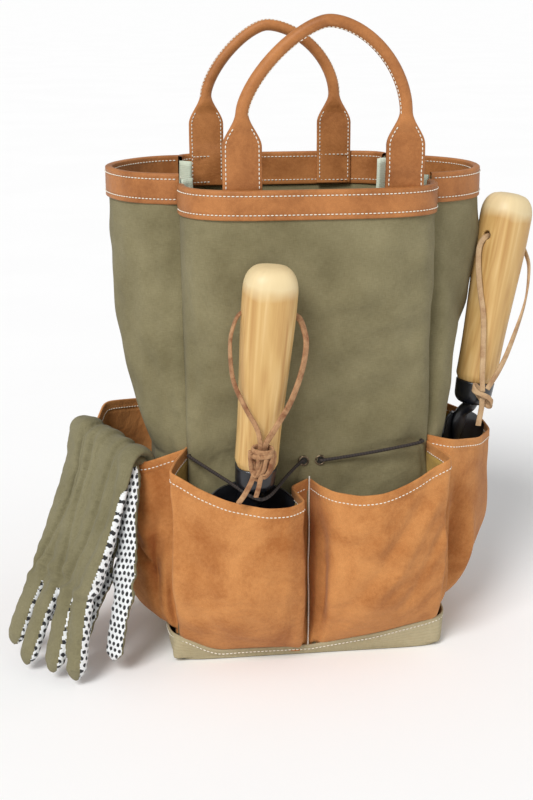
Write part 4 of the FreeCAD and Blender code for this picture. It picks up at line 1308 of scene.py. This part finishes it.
def glove_skins(obj, paths, palm_faces_out):
    """Gives every face its cloth and its place on the nearest finger's strip, in millimetres."""
    mesh = obj.data
    count = len(mesh.vertices)
    co = np.array([v.co for v in mesh.vertices]) / MM
    along = np.stack([lengths(path) for path in paths])
    samples, run = paths.reshape(-1, 3), along.reshape(-1)
    nearest = np.zeros(count, int)
    for first in range(0, count, 4000):
        part = co[first : first + 4000]
        gap = ((part[:, None, :] - samples[None, :, :]) ** 2).sum(axis=2)
        nearest[first : first + 4000] = gap.argmin(axis=1)
    offset = co - samples[nearest]
    turn = -1.0 if palm_faces_out else 1.0
    u = (co - GLOVE_FOLD) @ GLOVE_ACROSS + turn * (offset @ GLOVE_OUT)
    uv = np.stack([u + 200, run[nearest]], axis=-1)
    inward, to_side = -(offset @ GLOVE_OUT), offset @ GLOVE_ACROSS
    if palm_faces_out:
        palm = -inward - 0.5 - 20.0 * (1 - smooth((145.0 - co[:, 2]) / 6))
    else:
        rolled = (co[:, 2] < KNUCKLE_Z) | (nearest >= (len(paths) - 1) * paths.shape[1])
        rolled = rolled * smooth((132.0 - co[:, 2]) / 10)
        palm = inward - 3.2 * (1 - rolled) + rolled * (0.7 * np.maximum(to_side - 3.0, 0) - 0.4)
    layer = mesh.uv_layers.new(name="UVMap")
    loops = np.zeros(len(mesh.loops), np.int32)
    mesh.loops.foreach_get("vertex_index", loops)
    layer.data.foreach_set("uv", uv[loops].astype(np.float32).ravel())
    starts = np.zeros(len(mesh.polygons), np.int32)
    mesh.polygons.foreach_get("loop_start", starts)
    mean = np.add.reduceat(palm[loops], starts)
    mesh.polygons.foreach_set("material_index", (mean > 0).astype(np.int32))
    mesh.update()


def gloves():
    """A pair, palm to palm, folded over the left pocket's lip. Each finger: where its strip lies
    at the fold, the knuckles and the tip, how far out and how high the tip is, half width, half
    thickness."""
    upper = [
        (-29, -27, -34, 66, 11, 8.2, 4.4),
        (-11, -9, -10, 73, 6, 8.0, 5.0),
        (6, 9, 15, 69, 7, 8.2, 5.0),
        (22, 24, 32, 63, 5, 7.4, 6.0),
    ]
    glove("upper_glove", UPPER_HANG, 0.0, upper, False, ["upper_glove_back", "upper_glove_palm"])
    under = [
        (-24, -20, -24, 44, 24, 7.2, 3.2),
        (-8, -4, -6, 46, 20, 7.4, 3.2),
        (6, 12, 12, 44, 18, 7.4, 3.2),
        (18, 35, 36, 34, 11, 8.0, 3.4),
    ]
    glove("under_glove", UNDER_HANG, 7.0, under, True, ["under_glove_back", "under_glove_palm"])


SKY_LIGHT = 0.5


# ---- assembly ----
def bag():
    threads = Mesh()
    for side in SIDES:
        canvas_panel(side)
        rim_band(side, threads)
    threads.sew("rim_stitches")
    for x, x_name in ((-1, "left"), (1, "right")):
        for y, y_name in ((-1, "front"), (1, "rear")):
            seam_binding(x, y, f"{y_name}_{x_name}_seam_binding")
    base_threads = Mesh()
    base_band(base_threads)
    base_threads.sew("base_stitches")
    base_board()
    pockets()
    pocket_piping("front_pocket_piping", -1)
    pocket_piping("rear_pocket_piping", 1)
    eyelets("front_eyelets", -1)
    eyelets("rear_eyelets", 1)
    drawcord()
    handle("front", 8.0)
    handle("rear", -10.0)


def tools():
    for tool in TOOLS:
        grip(tool)
        ferrule(tool)
        blade(tool)
    laces()


def floor():
    """Pale floor running far back."""
    mesh = bpy.data.meshes.new("floor")
    size = 60.0
    corners = [(-size, -size, 0), (size, -size, 0), (size, size, 0), (-size, size, 0)]
    mesh.from_pydata(corners, [], [(0, 1, 2, 3)])
    obj = bpy.data.objects.new("floor", mesh)
    bpy.context.scene.collection.objects.link(obj)
    n = Nodes("floor_paper", 1.0, gloss=0.0)
    n.colour(n.ramp(n.noise(n.place(), 3.0), (0.4, (0.93, 0.93, 0.93)), (0.6, (0.94, 0.94, 0.94))))
    mesh.materials.append(n.material)


def sky():
    """Even white light from all round; the camera sees a plain near-white background."""
    world = bpy.data.worlds.new("studio")
    world.use_nodes = True
    nodes, links = world.node_tree.nodes, world.node_tree.links
    light = nodes["Background"]
    light.inputs[0].default_value = (1.0, 1.0, 1.0, 1.0)
    light.inputs[1].default_value = SKY_LIGHT
    seen = nodes.new("ShaderNodeBackground")
    seen.inputs[0].default_value = (0.96, 0.96, 0.96, 1.0)
    rays = nodes.new("ShaderNodeLightPath")
    pick = nodes.new("ShaderNodeMixShader")
    links.new(rays.outputs["Is Camera Ray"], pick.inputs[0])
    links.new(light.outputs[0], pick.inputs[1])
    links.new(seen.outputs[0], pick.inputs[2])
    links.new(pick.outputs[0], nodes["World Output"].inputs[0])
    bpy.context.scene.world = world


def sun(name, place, width, power):
    """A sun aimed at the bag's middle; width is its angle in degrees, so how soft its shadows are."""
    data = bpy.data.lights.new(name, "SUN")
    data.angle = math.radians(width)
    data.energy = power
    light = bpy.data.objects.new(name, data)
    light.location = place
    aim(light, (0.0, 0.0, 0.2))
    bpy.context.scene.collection.objects.link(light)


def aim(obj, target):
    direction = np.array(target) - np.array(obj.location)
    flat = math.hypot(direction[0], direction[1])
    obj.rotation_euler = (math.atan2(flat, -direction[2]), 0.0, math.atan2(-direction[0], direction[1]))


def camera():
    """Stands a metre in front, a little to the left and above the rim, looking down slightly."""
    azimuth, distance, height, pitch = -0.1425, 1.05, 0.4495, 0.266
    data = bpy.data.cameras.new("camera")
    data.sensor_fit = "VERTICAL"
    data.sensor_height = 36.0
    data.lens = 68.6
    data.shift_x = -0.0358
    obj = bpy.data.objects.new("camera", data)
    obj.location = (math.sin(azimuth) * distance, -math.cos(azimuth) * distance, height)
    obj.rotation_euler = (math.pi / 2 - pitch, 0.0, azimuth)
    bpy.context.scene.collection.objects.link(obj)
    bpy.context.scene.camera = obj


bag()
tools()
gloves()
floor()
sky()
sun("key", (-1.2, -1.9, 2.1), 24.0, 2.5)
sun("fill", (1.6, -0.6, 0.9), 60.0, 0.35)
camera()
bpy.context.scene.view_settings.view_transform = "Standard"

bpy.context.view_layer.update()
